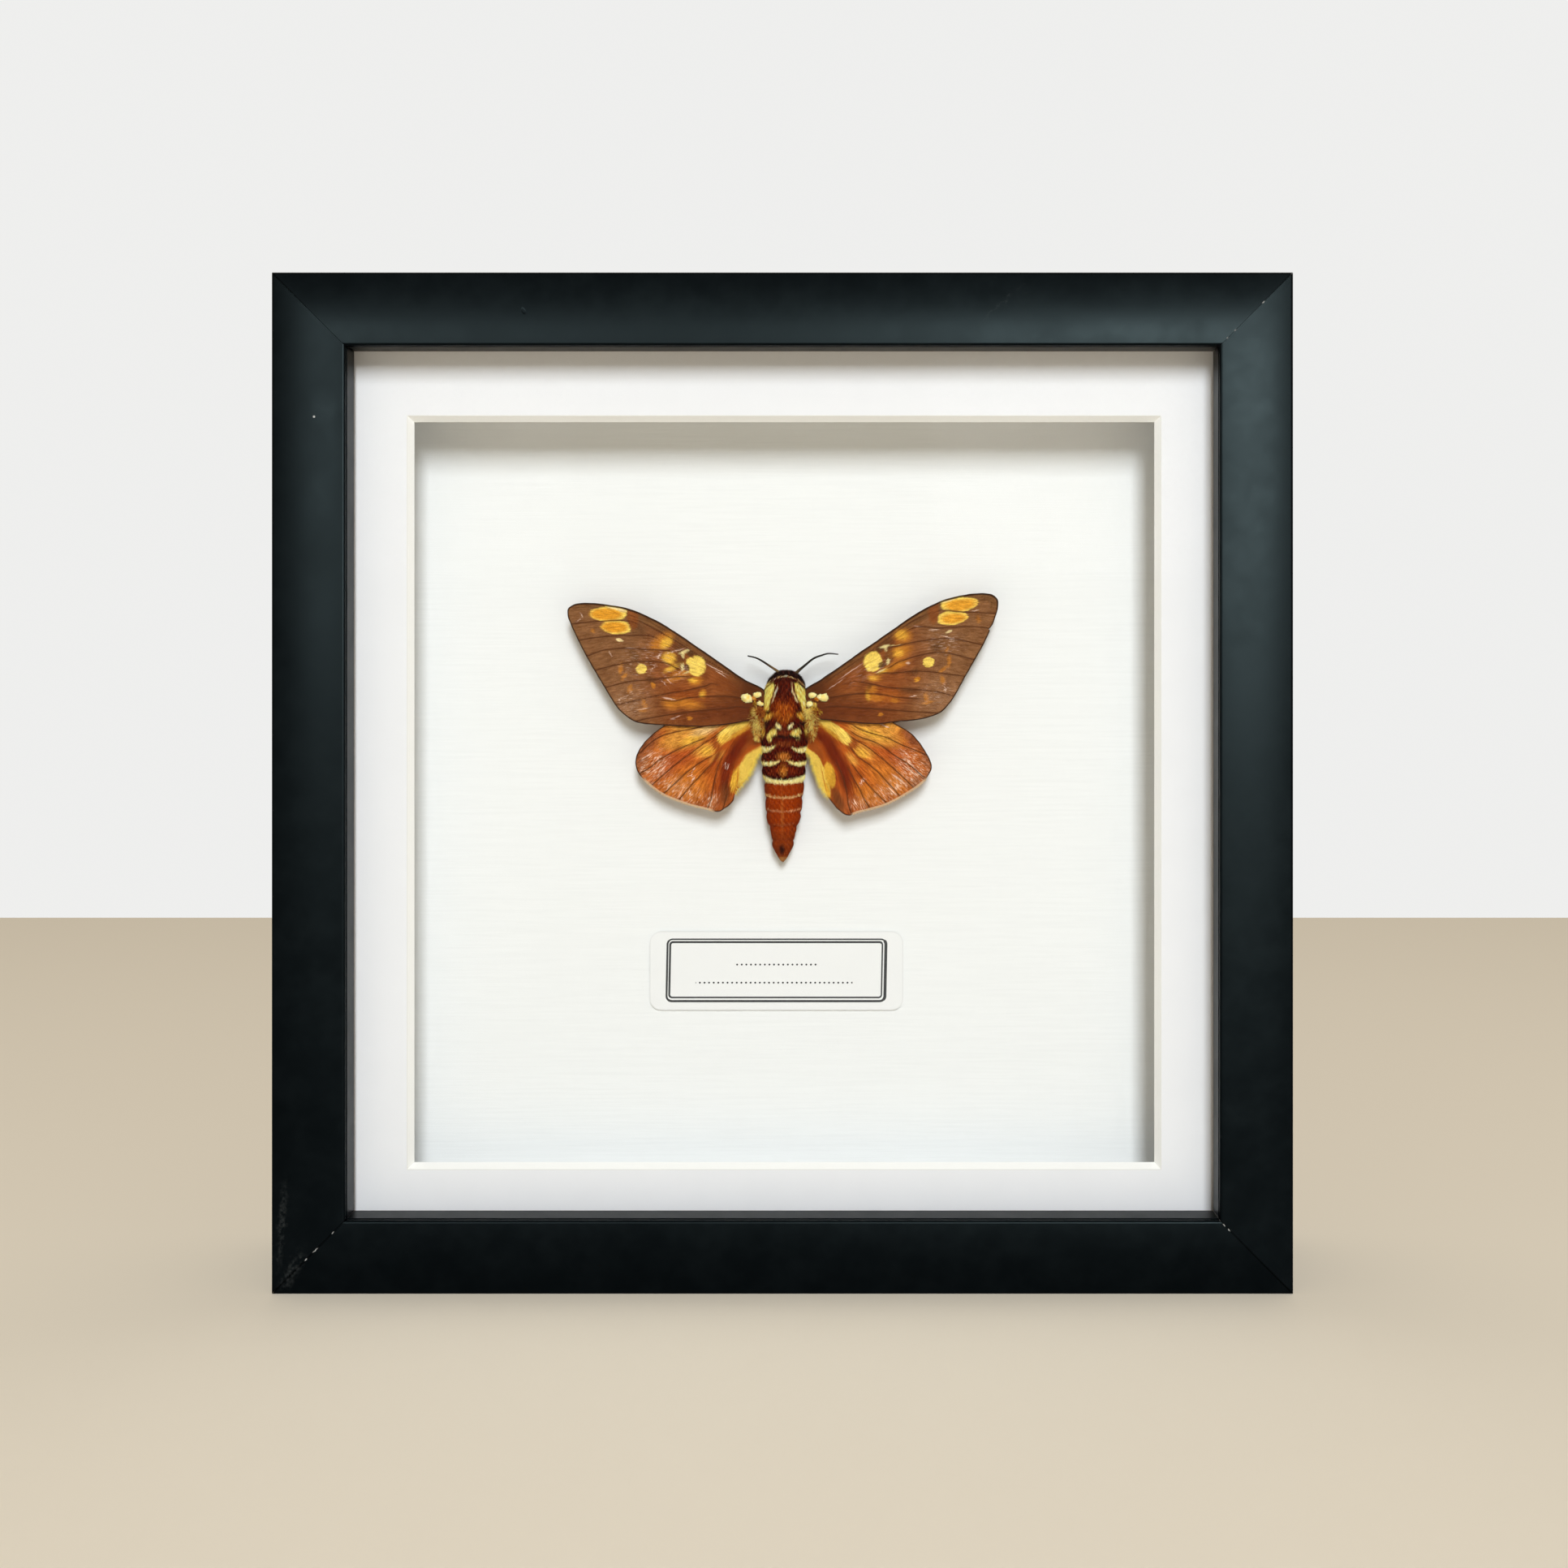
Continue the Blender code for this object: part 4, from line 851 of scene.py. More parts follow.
def label_finish():
    """Paper sticker with a printed double rule and two dotted lines to write on, and painted shade just
    inside its edge.
    """
    settings = bpy.context.scene.moth_sheets
    finish = Finish("label_paper", Roughness=0.62, Specular_IOR_Level=0.25)
    place = finish.place()
    x, _, z = finish.split(place)
    middle = (LABEL_LOW + LABEL_HIGH) / (2 * MM)
    paper_edge = rounded_box(finish, x - middle.x, z - middle.z, 33.0, 10.25, 3.0)
    x, z = x + 2.70, z - 74.45
    x = x - z * 0.02
    outer = rounded_box(finish, x, z, 28.65, 8.3, 1.6)
    inner = rounded_box(finish, x + 0.1, z - 0.1, 27.75, 7.35, 0.9)
    # Each side of the two rules has its own weight
    upright = (abs(x) - 28.65 - abs(z) + 8.3).fade(-0.3, 0.3)
    right, top = x.fade(-1, 1), z.fade(-1, 1)
    outer_weight = upright * (0.52 + right * 0.26) + (1 - upright) * (0.60 - top * 0.20)
    inner_weight = upright * (0.54 - right * 0.14) + (1 - upright) * (0.44 + top * 0.12)
    grain = finish.noise(place, 4.5, 3.0, 0.6)
    ink = (abs(outer + 0.25) - outer_weight / 2).fade(0.06, -0.06)
    ink = ink.above((abs(inner + 0.15) - inner_weight / 2).fade(0.06, -0.06))
    for height, centre, half in ((1.45, -0.3, 10.8), (-3.25, -0.5, 20.4)):
        dots = (finish.maths("FRACT", x / 1.2) - 0.5) * 1.2
        reach = finish.length(finish.join(dots, z - height))
        ink = ink.above(reach.fade(0.30, 0.20) * abs(x - centre).fade(half + 0.1, half - 0.1))
    paper = finish.mix(grain.fade(0.4, 0.8) * 0.10, settings.paper, dimmed(settings.paper, 0.94))
    # Painted shade: the paper darkens just inside its edge
    paper = finish.mix(paper_edge.fade(-0.45, -0.05) * 0.30, paper, (0.62, 0.62, 0.60))
    tone = finish.mix(ink * (0.90 + grain * 0.1), paper, settings.ink)
    return finish.end(Base_Color=tone, Normal=finish.bump(grain, 0.02 * MM, 0.3))


def hardboard_finish():
    """Brown pressed board: a fibrous surface with a fine canvas tooth."""
    settings = bpy.context.scene.moth_sheets
    finish = Finish("hardboard", Roughness=0.82, Specular_IOR_Level=0.3)
    place = finish.place()
    x, _, z = finish.split(place)
    fibre = finish.noise(finish.stretch(place, 1.0, 1.0, 0.55), 1.4, 6.0, 0.72)
    fleck = finish.noise(place, 5.0, 3.0, 0.7)
    tooth = finish.maths("SINE", x * 5.2) * finish.maths("SINE", z * 5.2)
    tone = finish.mix(fibre.fade(0.3, 0.7), dimmed(settings.hardboard, 0.68), settings.hardboard)
    tone = finish.mix(fleck.fade(0.60, 0.75) * 0.55, tone, (0.40, 0.27, 0.16))
    tone = finish.mix(finish.noise(place, 0.03, 3.0, 0.6).fade(0.45, 0.7) * 0.35, tone, (0.14, 0.075, 0.036))
    relief = finish.bump(fibre * 0.8 + tooth * 0.35, 0.10 * MM, 0.6)
    return finish.end(Base_Color=tone, Normal=relief)


def steel_finish():
    """Zinc-plated steel, brushed by handling and dulled in patches."""
    settings = bpy.context.scene.moth_sheets
    finish = Finish("zinc_steel", Metallic=1.0)
    place = finish.place()
    brush = finish.noise(finish.stretch(place, 0.5, 3.0, 7.0), 1.5, 4.0, 0.6)
    patch = finish.noise(place, 0.45, 3.0, 0.6)
    tone = finish.mix(patch.fade(0.35, 0.7), settings.steel, (0.40, 0.40, 0.41))
    tone = finish.mix(brush.fade(0.6, 0.8) * 0.3, tone, (0.72, 0.72, 0.71))
    rough = 0.30 + patch * 0.22 + brush * 0.08
    return finish.end(Base_Color=tone, Roughness=rough, Normal=finish.bump(brush, 0.01 * MM, 0.4))


# Finishes of the moth


def wing_base(finish, kind, flat):
    """Ground colour of a wing before its marks."""
    out, up, _ = finish.split(flat)
    if kind == "hindwing":
        ground = finish.mix(out.fade(16, 26), (0.46, 0.094, 0.010), (0.49, 0.118, 0.014))
        return finish.mix(up.fade(-19, -27) * 0.5, ground, SCALES["red_brown"])
    ground = finish.mix(out.fade(40, 26), SCALES["outer"], SCALES["middle"])
    ground = finish.mix(out.fade(19, 8), ground, SCALES["root"])
    return ground


def front_edge(finish, ground, rim, out, up):
    """Olive band and dark lines that run along a forewing's front edge."""
    along = out.fade(9, 14) * (up - out * 0.46).fade(-1.5, 2.5)
    band = rim.fade(2.4, 1.6) * along
    ground = finish.mix(band * 0.75, ground, SCALES["front_edge"])
    lines = line_mask(rim - 1.05, 0.16, 0.9) + line_mask(rim - 1.75, 0.22, 0.9)
    return finish.mix(lines * along * 0.40, ground, SCALES["dark_brown"])


def wing_finish(kind, side):
    """Scales of one wing: ground, marks, rubbed streaks, veins and rim."""
    finish = Finish(f"{kind}_scales_{side}", Specular_IOR_Level=0.06, Specular_Tint=(1.0, 0.62, 0.36, 1.0))
    place = finish.attribute("wing_place")
    flow = finish.attribute("wing_flow")
    out, up, rim = finish.split(place)
    turn, seen, gap = finish.split(flow)
    flat = finish.join(out, up)
    lanes = finish.join(turn * 8.0, (out - up * 0.5) * 0.30)
    streak = finish.noise(lanes, 1.0, 4.0, 0.7)
    comb = finish.noise(finish.join(turn * 13.0, (out - up * 0.5) * 0.16, 7.0), 1.0, 3.0, 0.65)
    scale_grain = finish.noise(flat, 3.4, 4.0, 0.75)
    cloud = finish.noise(flat, 0.42, 4.0, 0.65)
    # The edges of the marks follow the rows of scales, which run along the veins
    root = (HINDWING_FAN[0], HINDWING_FAN[1], 0) if kind == "hindwing" else (-20, -8, 0)
    onward = finish.vector("NORMALIZE", finish.vector("SUBTRACT", flat, root))
    reach = (comb - 0.5) * (4.2 if kind == "hindwing" else 2.4)
    ragged = finish.vector("ADD", finish.ragged(flat, 0.22, 1.6), finish.scaled(onward, reach))
    ground = wing_base(finish, kind, flat)
    if kind == "forewing":
        ground = front_edge(finish, ground, rim, out, up)
    marks = FOREWING_MARKS if kind == "forewing" else HINDWING_MARKS
    for colour_name, strength, spots in marks[side]:
        for spot in spots:
            covered = finish.spot(ragged, *spot)
            ground = finish.mix(covered * strength, ground, SCALES[colour_name])
    contrast = out.fade(10.5, 14.0) * 0.90 if kind == "hindwing" else 0.60
    ground = finish.mix(streak.fade(0.46, 0.66) * contrast, ground, (0.52, 0.38, 0.30), "MULTIPLY")
    ground = finish.mix(streak.fade(0.50, 0.34) * contrast, ground, (1.38, 1.42, 1.40), "MULTIPLY")
    if kind == "hindwing":
        ground = finish.mix(out.fade(15.5, 12.0) * 0.70, ground, (0.76, 0.68, 0.52), "MULTIPLY")
    ground = finish.mix(cloud.fade(0.50, 0.70) * 0.50, ground, (0.66, 0.60, 0.54), "MULTIPLY")
    ground = finish.mix(cloud.fade(0.50, 0.34) * 0.50, ground, (1.24, 1.26, 1.30), "MULTIPLY")
    ground = finish.mix(scale_grain.fade(0.50, 0.62) * 0.50, ground, (0.60, 0.54, 0.48), "MULTIPLY")
    ground = finish.mix(scale_grain.fade(0.50, 0.38) * 0.50, ground, (1.34, 1.32, 1.26), "MULTIPLY")
    lane_noise = finish.noise(finish.join(turn * 24.0, (out - up) * 0.55, 3.0), 1.0, 2.0, 0.55)
    bare = None
    for spot in RUBBED[f"{kind}_{side}"]:
        patch = finish.spot(flat, *spot)
        bare = patch if bare is None else bare.above(patch)
    strength = 0.85 if kind == "hindwing" else 0.45
    if kind == "hindwing":
        ground = finish.mix(bare * lane_noise.fade(0.44, 0.60) * 0.55, ground, (0.78, 0.42, 0.19))
    ground = finish.mix(bare * lane_noise.fade(0.575, 0.64) * strength, ground, SCALES["scratch"])
    off = abs(turn - turn.nearest()) * gap
    fork = gap.fade(0.25, 1.3)
    vein = off.fade(0.22, 0.06) * seen * fork
    ground = finish.mix(off.fade(0.60, 0.12) * seen * fork * 0.22, ground, SCALES["vein"])
    ground = finish.mix(vein * 0.80, ground, SCALES["vein"])
    ground = wing_rim(finish, kind, side, ground, rim, out, up)
    height = off.fade(0.45, 0.0) * seen * 1.0 + streak * 0.30 + scale_grain * 0.22
    relief = finish.bump(height, 0.06 * MM, 0.75)
    rough = 0.58 + streak * 0.16 - vein * 0.08
    return finish.end(Base_Color=ground, Roughness=rough, Normal=relief)


def wing_rim(finish, kind, side, ground, rim, out, up):
    """Dark line round a wing, and the pale fringe along a hindwing's outer rear edge."""
    if kind == "forewing":
        fore = (up - out * 0.46).fade(-1.5, 2.5)
        dark = (rim - fore * 0.16).fade(0.42, 0.20)
        return finish.mix(dark * 0.94, ground, SCALES["rim"])
    start = 17.6 if side == "right" else 18.4
    lower = out.fade(start - 1.0, start + 0.5) * (up * -1.0).fade(17.5, 19.5)
    inner = out.fade(start - 3.0, start - 4.5) * (up * -1.0).fade(24.5, 22.0)
    ground = finish.mix(rim.fade(0.55, 0.25) * lower * 0.85, ground, SCALES["fringe"])
    dark = rim.fade(0.42, 0.18) * (1 - lower) * (1 - inner)
    return finish.mix(dark * 0.9, ground, SCALES["rim"])


def fur_finish(name, lift):
    """Fur, whose colour each hair carries with it."""
    finish = Finish(name, Specular_IOR_Level=0.03, Specular_Tint=(1.0, 0.62, 0.36, 1.0))
    tone = finish.attribute("fur_colour")
    place = finish.place()
    grain = finish.noise(finish.stretch(place, 2.4, 2.4, 0.8), 2.2, 3.0, 0.65)
    tone = finish.mix(grain.fade(0.50, 0.75) * 0.4, tone, (lift, lift**1.4, lift**1.8), "MULTIPLY")
    rough = 0.60 + grain * 0.15
    return finish.end(Base_Color=tone, Roughness=rough)


def horn_finish():
    """Feelers: brown at the root and grey at the tip, with fine rings."""
    finish = Finish("feeler_horn", Specular_IOR_Level=0.2)
    place = finish.place()
    x, _, z = finish.split(place)
    away = abs(x + 0.5)
    rings = finish.maths("SINE", (x + z) * 14.0)
    tone = finish.mix(away.fade(2.0, 5.0), (0.190, 0.105, 0.035), (0.020, 0.012, 0.007))
    tone = finish.mix(away.fade(9.0, 14.5) * 0.5, tone, (0.25, 0.25, 0.24))
    tone = finish.mix(rings.fade(0.2, 0.9) * 0.35, tone, (0.012, 0.007, 0.004))
    relief = finish.bump(rings, 0.03 * MM, 0.5)
    return finish.end(Base_Color=tone, Roughness=0.45 + rings.fade(0, 1) * 0.1, Normal=relief)


def eye_finish():
    finish = Finish("eye_horn", Specular_IOR_Level=0.3)
    cells = finish.node("TexVoronoi", None, {"Vector": finish.place(), "Scale": 5.5})
    tone = finish.mix(cells.fade(0.2, 0.6), (0.020, 0.010, 0.007), (0.006, 0.003, 0.002))
    return finish.end(Base_Color=tone, Roughness=0.28, Normal=finish.bump(cells, 0.03 * MM, -0.5))


# Wings


def smooth_path(points, steps, closed=False):
    """Points on a smooth curve through the given ones."""
    points = np.array(points, float)
    count = len(points)
    path = []
    for span in range(count if closed else count - 1):
        picks = [span - 1, span, span + 1, span + 2]
        picks = [pick % count if closed else min(max(pick, 0), count - 1) for pick in picks]
        before, start, end, after = points[picks]
        for step in range(steps):
            t = step / steps
            pull = 2 * before - 5 * start + 4 * end - after
            turn = 3 * start - before - 3 * end + after
            path.append(0.5 * (2 * start + (end - before) * t + pull * t * t + turn * t**3))
    if not closed:
        path.append(points[-1])
    return np.array(path)


def unit(vectors):
    """Rows of vectors, each brought to length one."""
    return vectors / np.linalg.norm(vectors, axis=1)[:, None]


def smoothstep(values, start, end):
    share = np.clip((values - start) / (end - start), 0, 1)
    return share * share * (3 - 2 * share)


def ripple(first, second, seed):
    """Gentle waves that don't repeat, for what is never quite flat."""
    rng = np.random.default_rng(seed)
    total = np.zeros(len(first))
    for _ in range(7):
        pitch = rng.uniform(0.25, 1.1, 2) * rng.choice((-1, 1), 2)
        total += np.sin(first * pitch[0] + second * pitch[1] + rng.uniform(0, 6.3))
    return total / 7


def forewing_flow(side, out, up):
    """Place among the veins, how plain the nearest vein is, and the gap between veins."""
    root_out, root_heights = FOREWING_ROOT
    lines, ranges = [], []
    for number, (inner, outer, course) in enumerate(FOREWING_VEINS[side]):
        height = root_heights[number]
        start = [(root_out - 5, height - 3.4 + 0.35 * number), (root_out, height)]
        path = smooth_path(start + [point for point in reversed(course) if point[0] > root_out + 0.5], 6)
        lines.append(np.interp(out, path[:, 0], path[:, 1]))
        ranges.append((inner, outer))
    for number in range(1, len(lines)):
        lines[number] = np.minimum(lines[number], lines[number - 1] - 0.12)
    return flow_between(lines, ranges, up, out)


def hindwing_flow(side, out, up):
    fan = np.array(HINDWING_FAN)
    reach = np.hypot(out - fan[0], up - fan[1])
    angle = np.degrees(np.arctan2(up - fan[1], out - fan[0]))
    lines, ranges = [], []
    for start, course in HINDWING_VEINS[side]:
        course = np.array(course) - fan
        distances = np.hypot(course[:, 0], course[:, 1])
        angles = np.degrees(np.arctan2(course[:, 1], course[:, 0]))
        path = smooth_path(np.column_stack((distances, angles)), 6)
        lines.append(np.interp(reach, path[:, 0], path[:, 1]))
        ranges.append((start, 60))
    for number in range(1, len(lines)):
        lines[number] = np.minimum(lines[number], lines[number - 1] - 1.2)
    arc = np.radians(1) * np.maximum(reach, 1)
    return flow_between([line * arc for line in lines], ranges, angle * arc, reach)


def flow_between(lines, ranges, height, along):
    """How far a point is from one vein to the next, counted from the first vein."""
    lines = np.array(lines)
    last = len(lines) - 1
    rank = np.clip((lines > height).sum(axis=0) - 1, 0, last - 1)
    columns = np.arange(len(height))
    upper, lower = lines[rank, columns], lines[rank + 1, columns]
    gap = np.maximum(upper - lower, 0.05)
    turn = rank + (upper - height) / gap
    wide = 4.0
    turn = np.where(height > lines[0], -(height - lines[0]) / wide, turn)
    turn = np.where(height < lines[last], last + (lines[last] - height) / wide, turn)
    gap = np.where((height > lines[0]) | (height < lines[last]), wide, gap)
    turn = np.clip(turn, -0.49, last + 0.49)
    nearest = np.clip(np.round(turn).astype(int), 0, last)
    starts = np.array([pair[0] for pair in ranges])[nearest]
    ends = np.array([pair[1] for pair in ranges])[nearest]
    seen = smoothstep(along, starts - 1, starts + 1.5) * smoothstep(along, ends + 0.5, ends - 1.0)
    return turn, seen, gap


def tucked(kind, out, up):
    """How far out a point stands once the roots of the wings are drawn in to the body."""
    draw = 1.8 * smoothstep(out, 10.0, 7.0)
    if kind == "hindwing":
        draw = draw * smoothstep(up, -13.5, -9.5)
    return out - draw


def front_bow(side, out):
    """How far a forewing's front edge stands above the CAD's straighter one."""
    if side == "left":
        return 0.85 * smoothstep(out, 7, 11) * smoothstep(out, 46, 34)
    return 0.85 * smoothstep(out, 7, 11) * smoothstep(out, 47, 40) + 0.45 * np.exp(-(((out - 32) / 6) ** 2))


def outline_of(piece):
    """Points round the edge of a flat sheet, in order, as x and z."""
    mesh = piece.data
    counts = {}
    for face in mesh.polygons:
        for key in face.edge_keys:
            counts[key] = counts.get(key, 0) + 1
    neighbours = {}
    for (first, second), count in counts.items():
        if count == 1:
            neighbours.setdefault(first, []).append(second)
            neighbours.setdefault(second, []).append(first)
    start = min(neighbours)
    order, previous, here = [start], None, start
    while True:
        following = [point for point in neighbours[here] if point != previous][0]
        if following == start:
            break
        order.append(following)
        previous, here = here, following
    return np.array([(mesh.vertices[i].co.x, mesh.vertices[i].co.z) for i in order])


def distance_to_outline(points, outline):
    """Least distance from each point to the closed outline."""
    best = np.full(len(points), 1e9)
    for start, end in zip(outline, np.roll(outline, -1, axis=0)):
        edge = end - start
        share = np.clip(((points - start) @ edge) / max(edge @ edge, 1e-18), 0, 1)
        best = np.minimum(best, np.linalg.norm(points - start - share[:, None] * edge, axis=1))
    return best


def front_sheet(node):
    """The front of a CAD wing as a flat sheet."""
    sheet = merged_copy(node, "sheet")
    bpy.ops.object.mode_set(mode="EDIT")
    bpy.ops.mesh.select_mode(type="FACE")
    bpy.ops.mesh.select_all(action="DESELECT")
    bpy.ops.object.mode_set(mode="OBJECT")
    for face in sheet.data.polygons:
        face.select = face.normal.y > -0.5
    bpy.ops.object.mode_set(mode="EDIT")
    bpy.ops.mesh.delete(type="FACE")
    bpy.ops.mesh.select_all(action="SELECT")
    bpy.ops.transform.resize(value=(1, 0, 1), center_override=(0, 0, 0))
    bpy.ops.object.mode_set(mode="OBJECT")
    return sheet


def wing_blank(name, sheet, plane, spacing, thickness):
    """A fine flat plate with the wing's outline."""
    corners = points_of(sheet)
    low, high = corners.min(axis=0), corners.max(axis=0)
    size = high - low + 4 * spacing
    middle = (low + high) / 2
    take(sheet)
    bpy.ops.object.mode_set(mode="EDIT")
    bpy.ops.mesh.select_all(action="SELECT")
    bpy.ops.transform.translate(value=(0, plane - 2 * MM, 0))
    bpy.ops.mesh.extrude_region_move(TRANSFORM_OT_translate={"value": (0, 4 * MM, 0)})
    bpy.ops.mesh.select_all(action="SELECT")
    bpy.ops.mesh.normals_make_consistent(inside=False)
    bpy.ops.object.mode_set(mode="OBJECT")
    clear_selection()
    columns, rows = round(size[0] / spacing), round(size[2] / spacing)
    bpy.ops.mesh.primitive_grid_add(
        x_subdivisions=columns, y_subdivisions=rows, size=1, calc_uvs=False,
        location=(middle[0], plane, middle[2]), rotation=(math.radians(90), 0, 0),
    )  # fmt: skip
    wing = bpy.context.active_object
    wing.name = name
    wing.data.name = name
    wing.scale = (size[0], size[2], 1)
    settle(wing)
    solid = wing.modifiers.new("thickness", "SOLIDIFY")
    solid.thickness = thickness
    solid.offset = 0
    bake_modifiers(wing)
    boolean(wing, sheet, "INTERSECT")
    return wing


def shape_wing(wing, kind, side, outline, plane):
    """Arches, pleats and thins the flat plate, and keeps where each point is on the wing."""
    settings = bpy.context.scene.moth_body
    points = points_of(wing)
    behind = points[:, 1] > plane
    flat = points[:, [0, 2]]
    rim = distance_to_outline(flat, outline) / MM
    out = SIDES[side] * (points[:, 0] - MOTH_CENTRE[0]) / MM
    up = (points[:, 2] - MOTH_CENTRE[1]) / MM
    flow = forewing_flow if kind == "forewing" else hindwing_flow
    turn, seen, gap = flow(side, out, up)
    # The margin is worn a little uneven, with one nick in the right forewing
    worn = smoothstep(rim, 0.8, 0.0) * 0.10 * ripple(out * 2.6, up * 2.6, 5)
    if (kind, side) == ("forewing", "right"):
        nick = np.exp(-(((out - 53.6) / 0.8) ** 2) - ((up - 20.0) / 0.42) ** 2)
        worn = worn + 0.9 * nick
    middle = np.array([out.mean(), up.mean()])
    inward = unit(middle - np.column_stack((out, up)))
    moved = np.column_stack((tucked(kind, out, up), up)) + inward * worn[:, None]
    if kind == "forewing":
        near_front = smoothstep(rim, 6.0, 0.0) * smoothstep(up - out * 0.46, -1.5, 2.5)
        moved[:, 1] += front_bow(side, out) * near_front
    arch = WING_ARCH * np.sin(np.pi * np.minimum(np.hypot(out, up) / WING_REACH, 1))
    pleat = settings.pleat / MM * np.cos(2 * np.pi * turn) * np.clip(gap / 3, 0, 1) * smoothstep(rim, 0, 2.5)
    wave = 0.10 * ripple(out * 0.55, up * 0.55, 9) * smoothstep(rim, 0, 3)
    half = settings.wing_thickness / MM / 2 * (0.30 + 0.70 * smoothstep(rim, 0.0, 1.0))
    depth = plane / MM - arch - pleat - wave + np.where(behind, half, -half)
    shaped = np.column_stack((SIDES[side] * moved[:, 0], depth, moved[:, 1])) * MM
    shaped += (MOTH_CENTRE[0], 0, MOTH_CENTRE[1])
    move_points(wing, shaped)
    for name, values in (("wing_place", (out, up, rim)), ("wing_flow", (turn, seen, gap))):
        layer = wing.data.attributes.new(name, "FLOAT_VECTOR", "POINT")
        layer.data.foreach_set("vector", np.column_stack(values).astype(np.float32).ravel())


def build_wing(kind, side):
    settings = bpy.context.scene.moth_body
    node = f"{kind}_{side}"
    sheet = front_sheet(node)
    outline = outline_of(sheet)
    plane = WING_PLANES[kind]
    wing = wing_blank(f"{node}_membrane", sheet, plane, settings.wing_mesh, settings.wing_thickness)
    shape_wing(wing, kind, side, outline, plane)
    dress(wing, wing_finish(kind, side), f"{kind}_scales", node, smooth=60)
    return outline


# Fur


def colour_points(mesh, tones):
    """Gives each point of a mesh its own colour, as rows of red, green and blue."""
    colours = np.column_stack((tones, np.ones(len(tones))))
    layer = mesh.color_attributes.new("fur_colour", "FLOAT_COLOR", "POINT")
    layer.data.foreach_set("color", colours.astype(np.float32).ravel())


def spikes(name, roots, ways, normals, lengths, widths, tones):
    """Closed flat spikes joined in one mesh, each with its own colour, and painted shade that makes it darker
    and deeper in colour at its root.
    """
    count = len(roots)
    ways = unit(ways)
    aside = unit(np.cross(ways, normals))
    points = np.empty((count, 4, 3))
    for corner in range(3):
        angle = 2 * math.pi * corner / 3
        shift = math.sin(angle) * aside + 0.35 * math.cos(angle) * np.cross(aside, ways)
        points[:, corner] = roots + shift * widths[:, None] / 2
    points[:, 3] = roots + ways * lengths[:, None]
    offsets = np.arange(count)[:, None, None] * 4
    faces = np.array(((0, 1, 3), (1, 2, 3), (2, 0, 3), (2, 1, 0)))[None] + offsets
    mesh = bpy.data.meshes.new(name)
    mesh.vertices.add(count * 4)
    mesh.vertices.foreach_set("co", points.astype(np.float32).ravel())
    mesh.loops.add(count * 12)
    mesh.loops.foreach_set("vertex_index", faces.astype(np.int32).ravel())
    mesh.polygons.add(count * 4)
    mesh.polygons.foreach_set("loop_start", np.arange(0, count * 12, 3, dtype=np.int32))
    mesh.update(calc_edges=True)
    # Painted shade: the three points at the root are darker and deeper in colour, and the one at the tip is
    # lighter
    shade = np.array((0.90, 0.90, 0.90, 1.15))[None, :, None]
    depth = np.array((1.25, 1.25, 1.25, 1.0))[None, :, None]
    shaded = np.clip(np.clip(tones, 0, 1)[:, None, :] ** depth * shade, 0, 1)
    colour_points(mesh, shaded.reshape(-1, 3))
    piece = bpy.data.objects.new(name, mesh)
    bpy.context.scene.collection.objects.link(piece)
    return piece


def shade_like(fur, normals, share):
    """Turns the normals of the spikes, four points to each, towards those of the skin, for a soft coat."""
    own = normals_of(fur)
    skin = np.repeat(normals, 4, axis=0)
    count = len(skin)
    own[:count] = own[:count] * (1 - share) + skin * share
    fur.data.normals_split_custom_set_from_vertices(unit(own).tolist())


def oval(across, up, spot):
    """Soft mask of an oval, over arrays of places."""
    middle_x, middle_z, half_length, half_width, degrees, soft = spot
    angle = math.radians(degrees)
    x, z = across - middle_x, up - middle_z
    along = (x * math.cos(angle) + z * math.sin(angle)) / half_length
    aside = (-x * math.sin(angle) + z * math.cos(angle)) / half_width
    return smoothstep(np.hypot(along, aside), 1 + soft * 0.6, 1 - soft)


def inside(across, up, corners, soft=0.25):
    """Soft mask of a polygon: one inside it."""
    within = np.zeros(len(across), bool)
    corners = np.array(corners)
    for (x0, z0), (x1, z1) in zip(corners, np.roll(corners, -1, axis=0)):
        crosses = (z0 > up) != (z1 > up)
        slope = (x1 - x0) / (z1 - z0) if z1 != z0 else 0
        within ^= crosses & (across < x0 + slope * (up - z0))
    reach = distance_to_outline(np.column_stack((across, up)), corners)
    return smoothstep(np.where(within, reach, -reach), -soft, soft)


def lay(tones, mask, tone):
    """Lays a colour over the others where the mask says."""
    return tones + (np.array(tone) - tones) * np.clip(mask, 0, 1)[:, None]


def band(across, up, middle, half, bow, left=-9.0, right=9.0, soft=0.18):
    """Mask of a band across the body that bows towards the tail."""
    lean = 0.35 + 0.0245 * up
    height = middle - bow * (1 - ((across - lean) / 5.0) ** 2)
    mask = smoothstep(np.abs(up - height), half + soft, half - soft)
    return mask * smoothstep(across, left - 0.3, left + 0.3) * smoothstep(across, right + 0.3, right - 0.3)


def lay_spots(tones, across, up, marks):
    """Lays groups of soft spots over the fur: their colour, their strength, and the ovals."""
    for tone, strength, spots in marks:
        for spot in spots:
            tones = lay(tones, oval(across, up, spot) * strength, tone)
    return tones


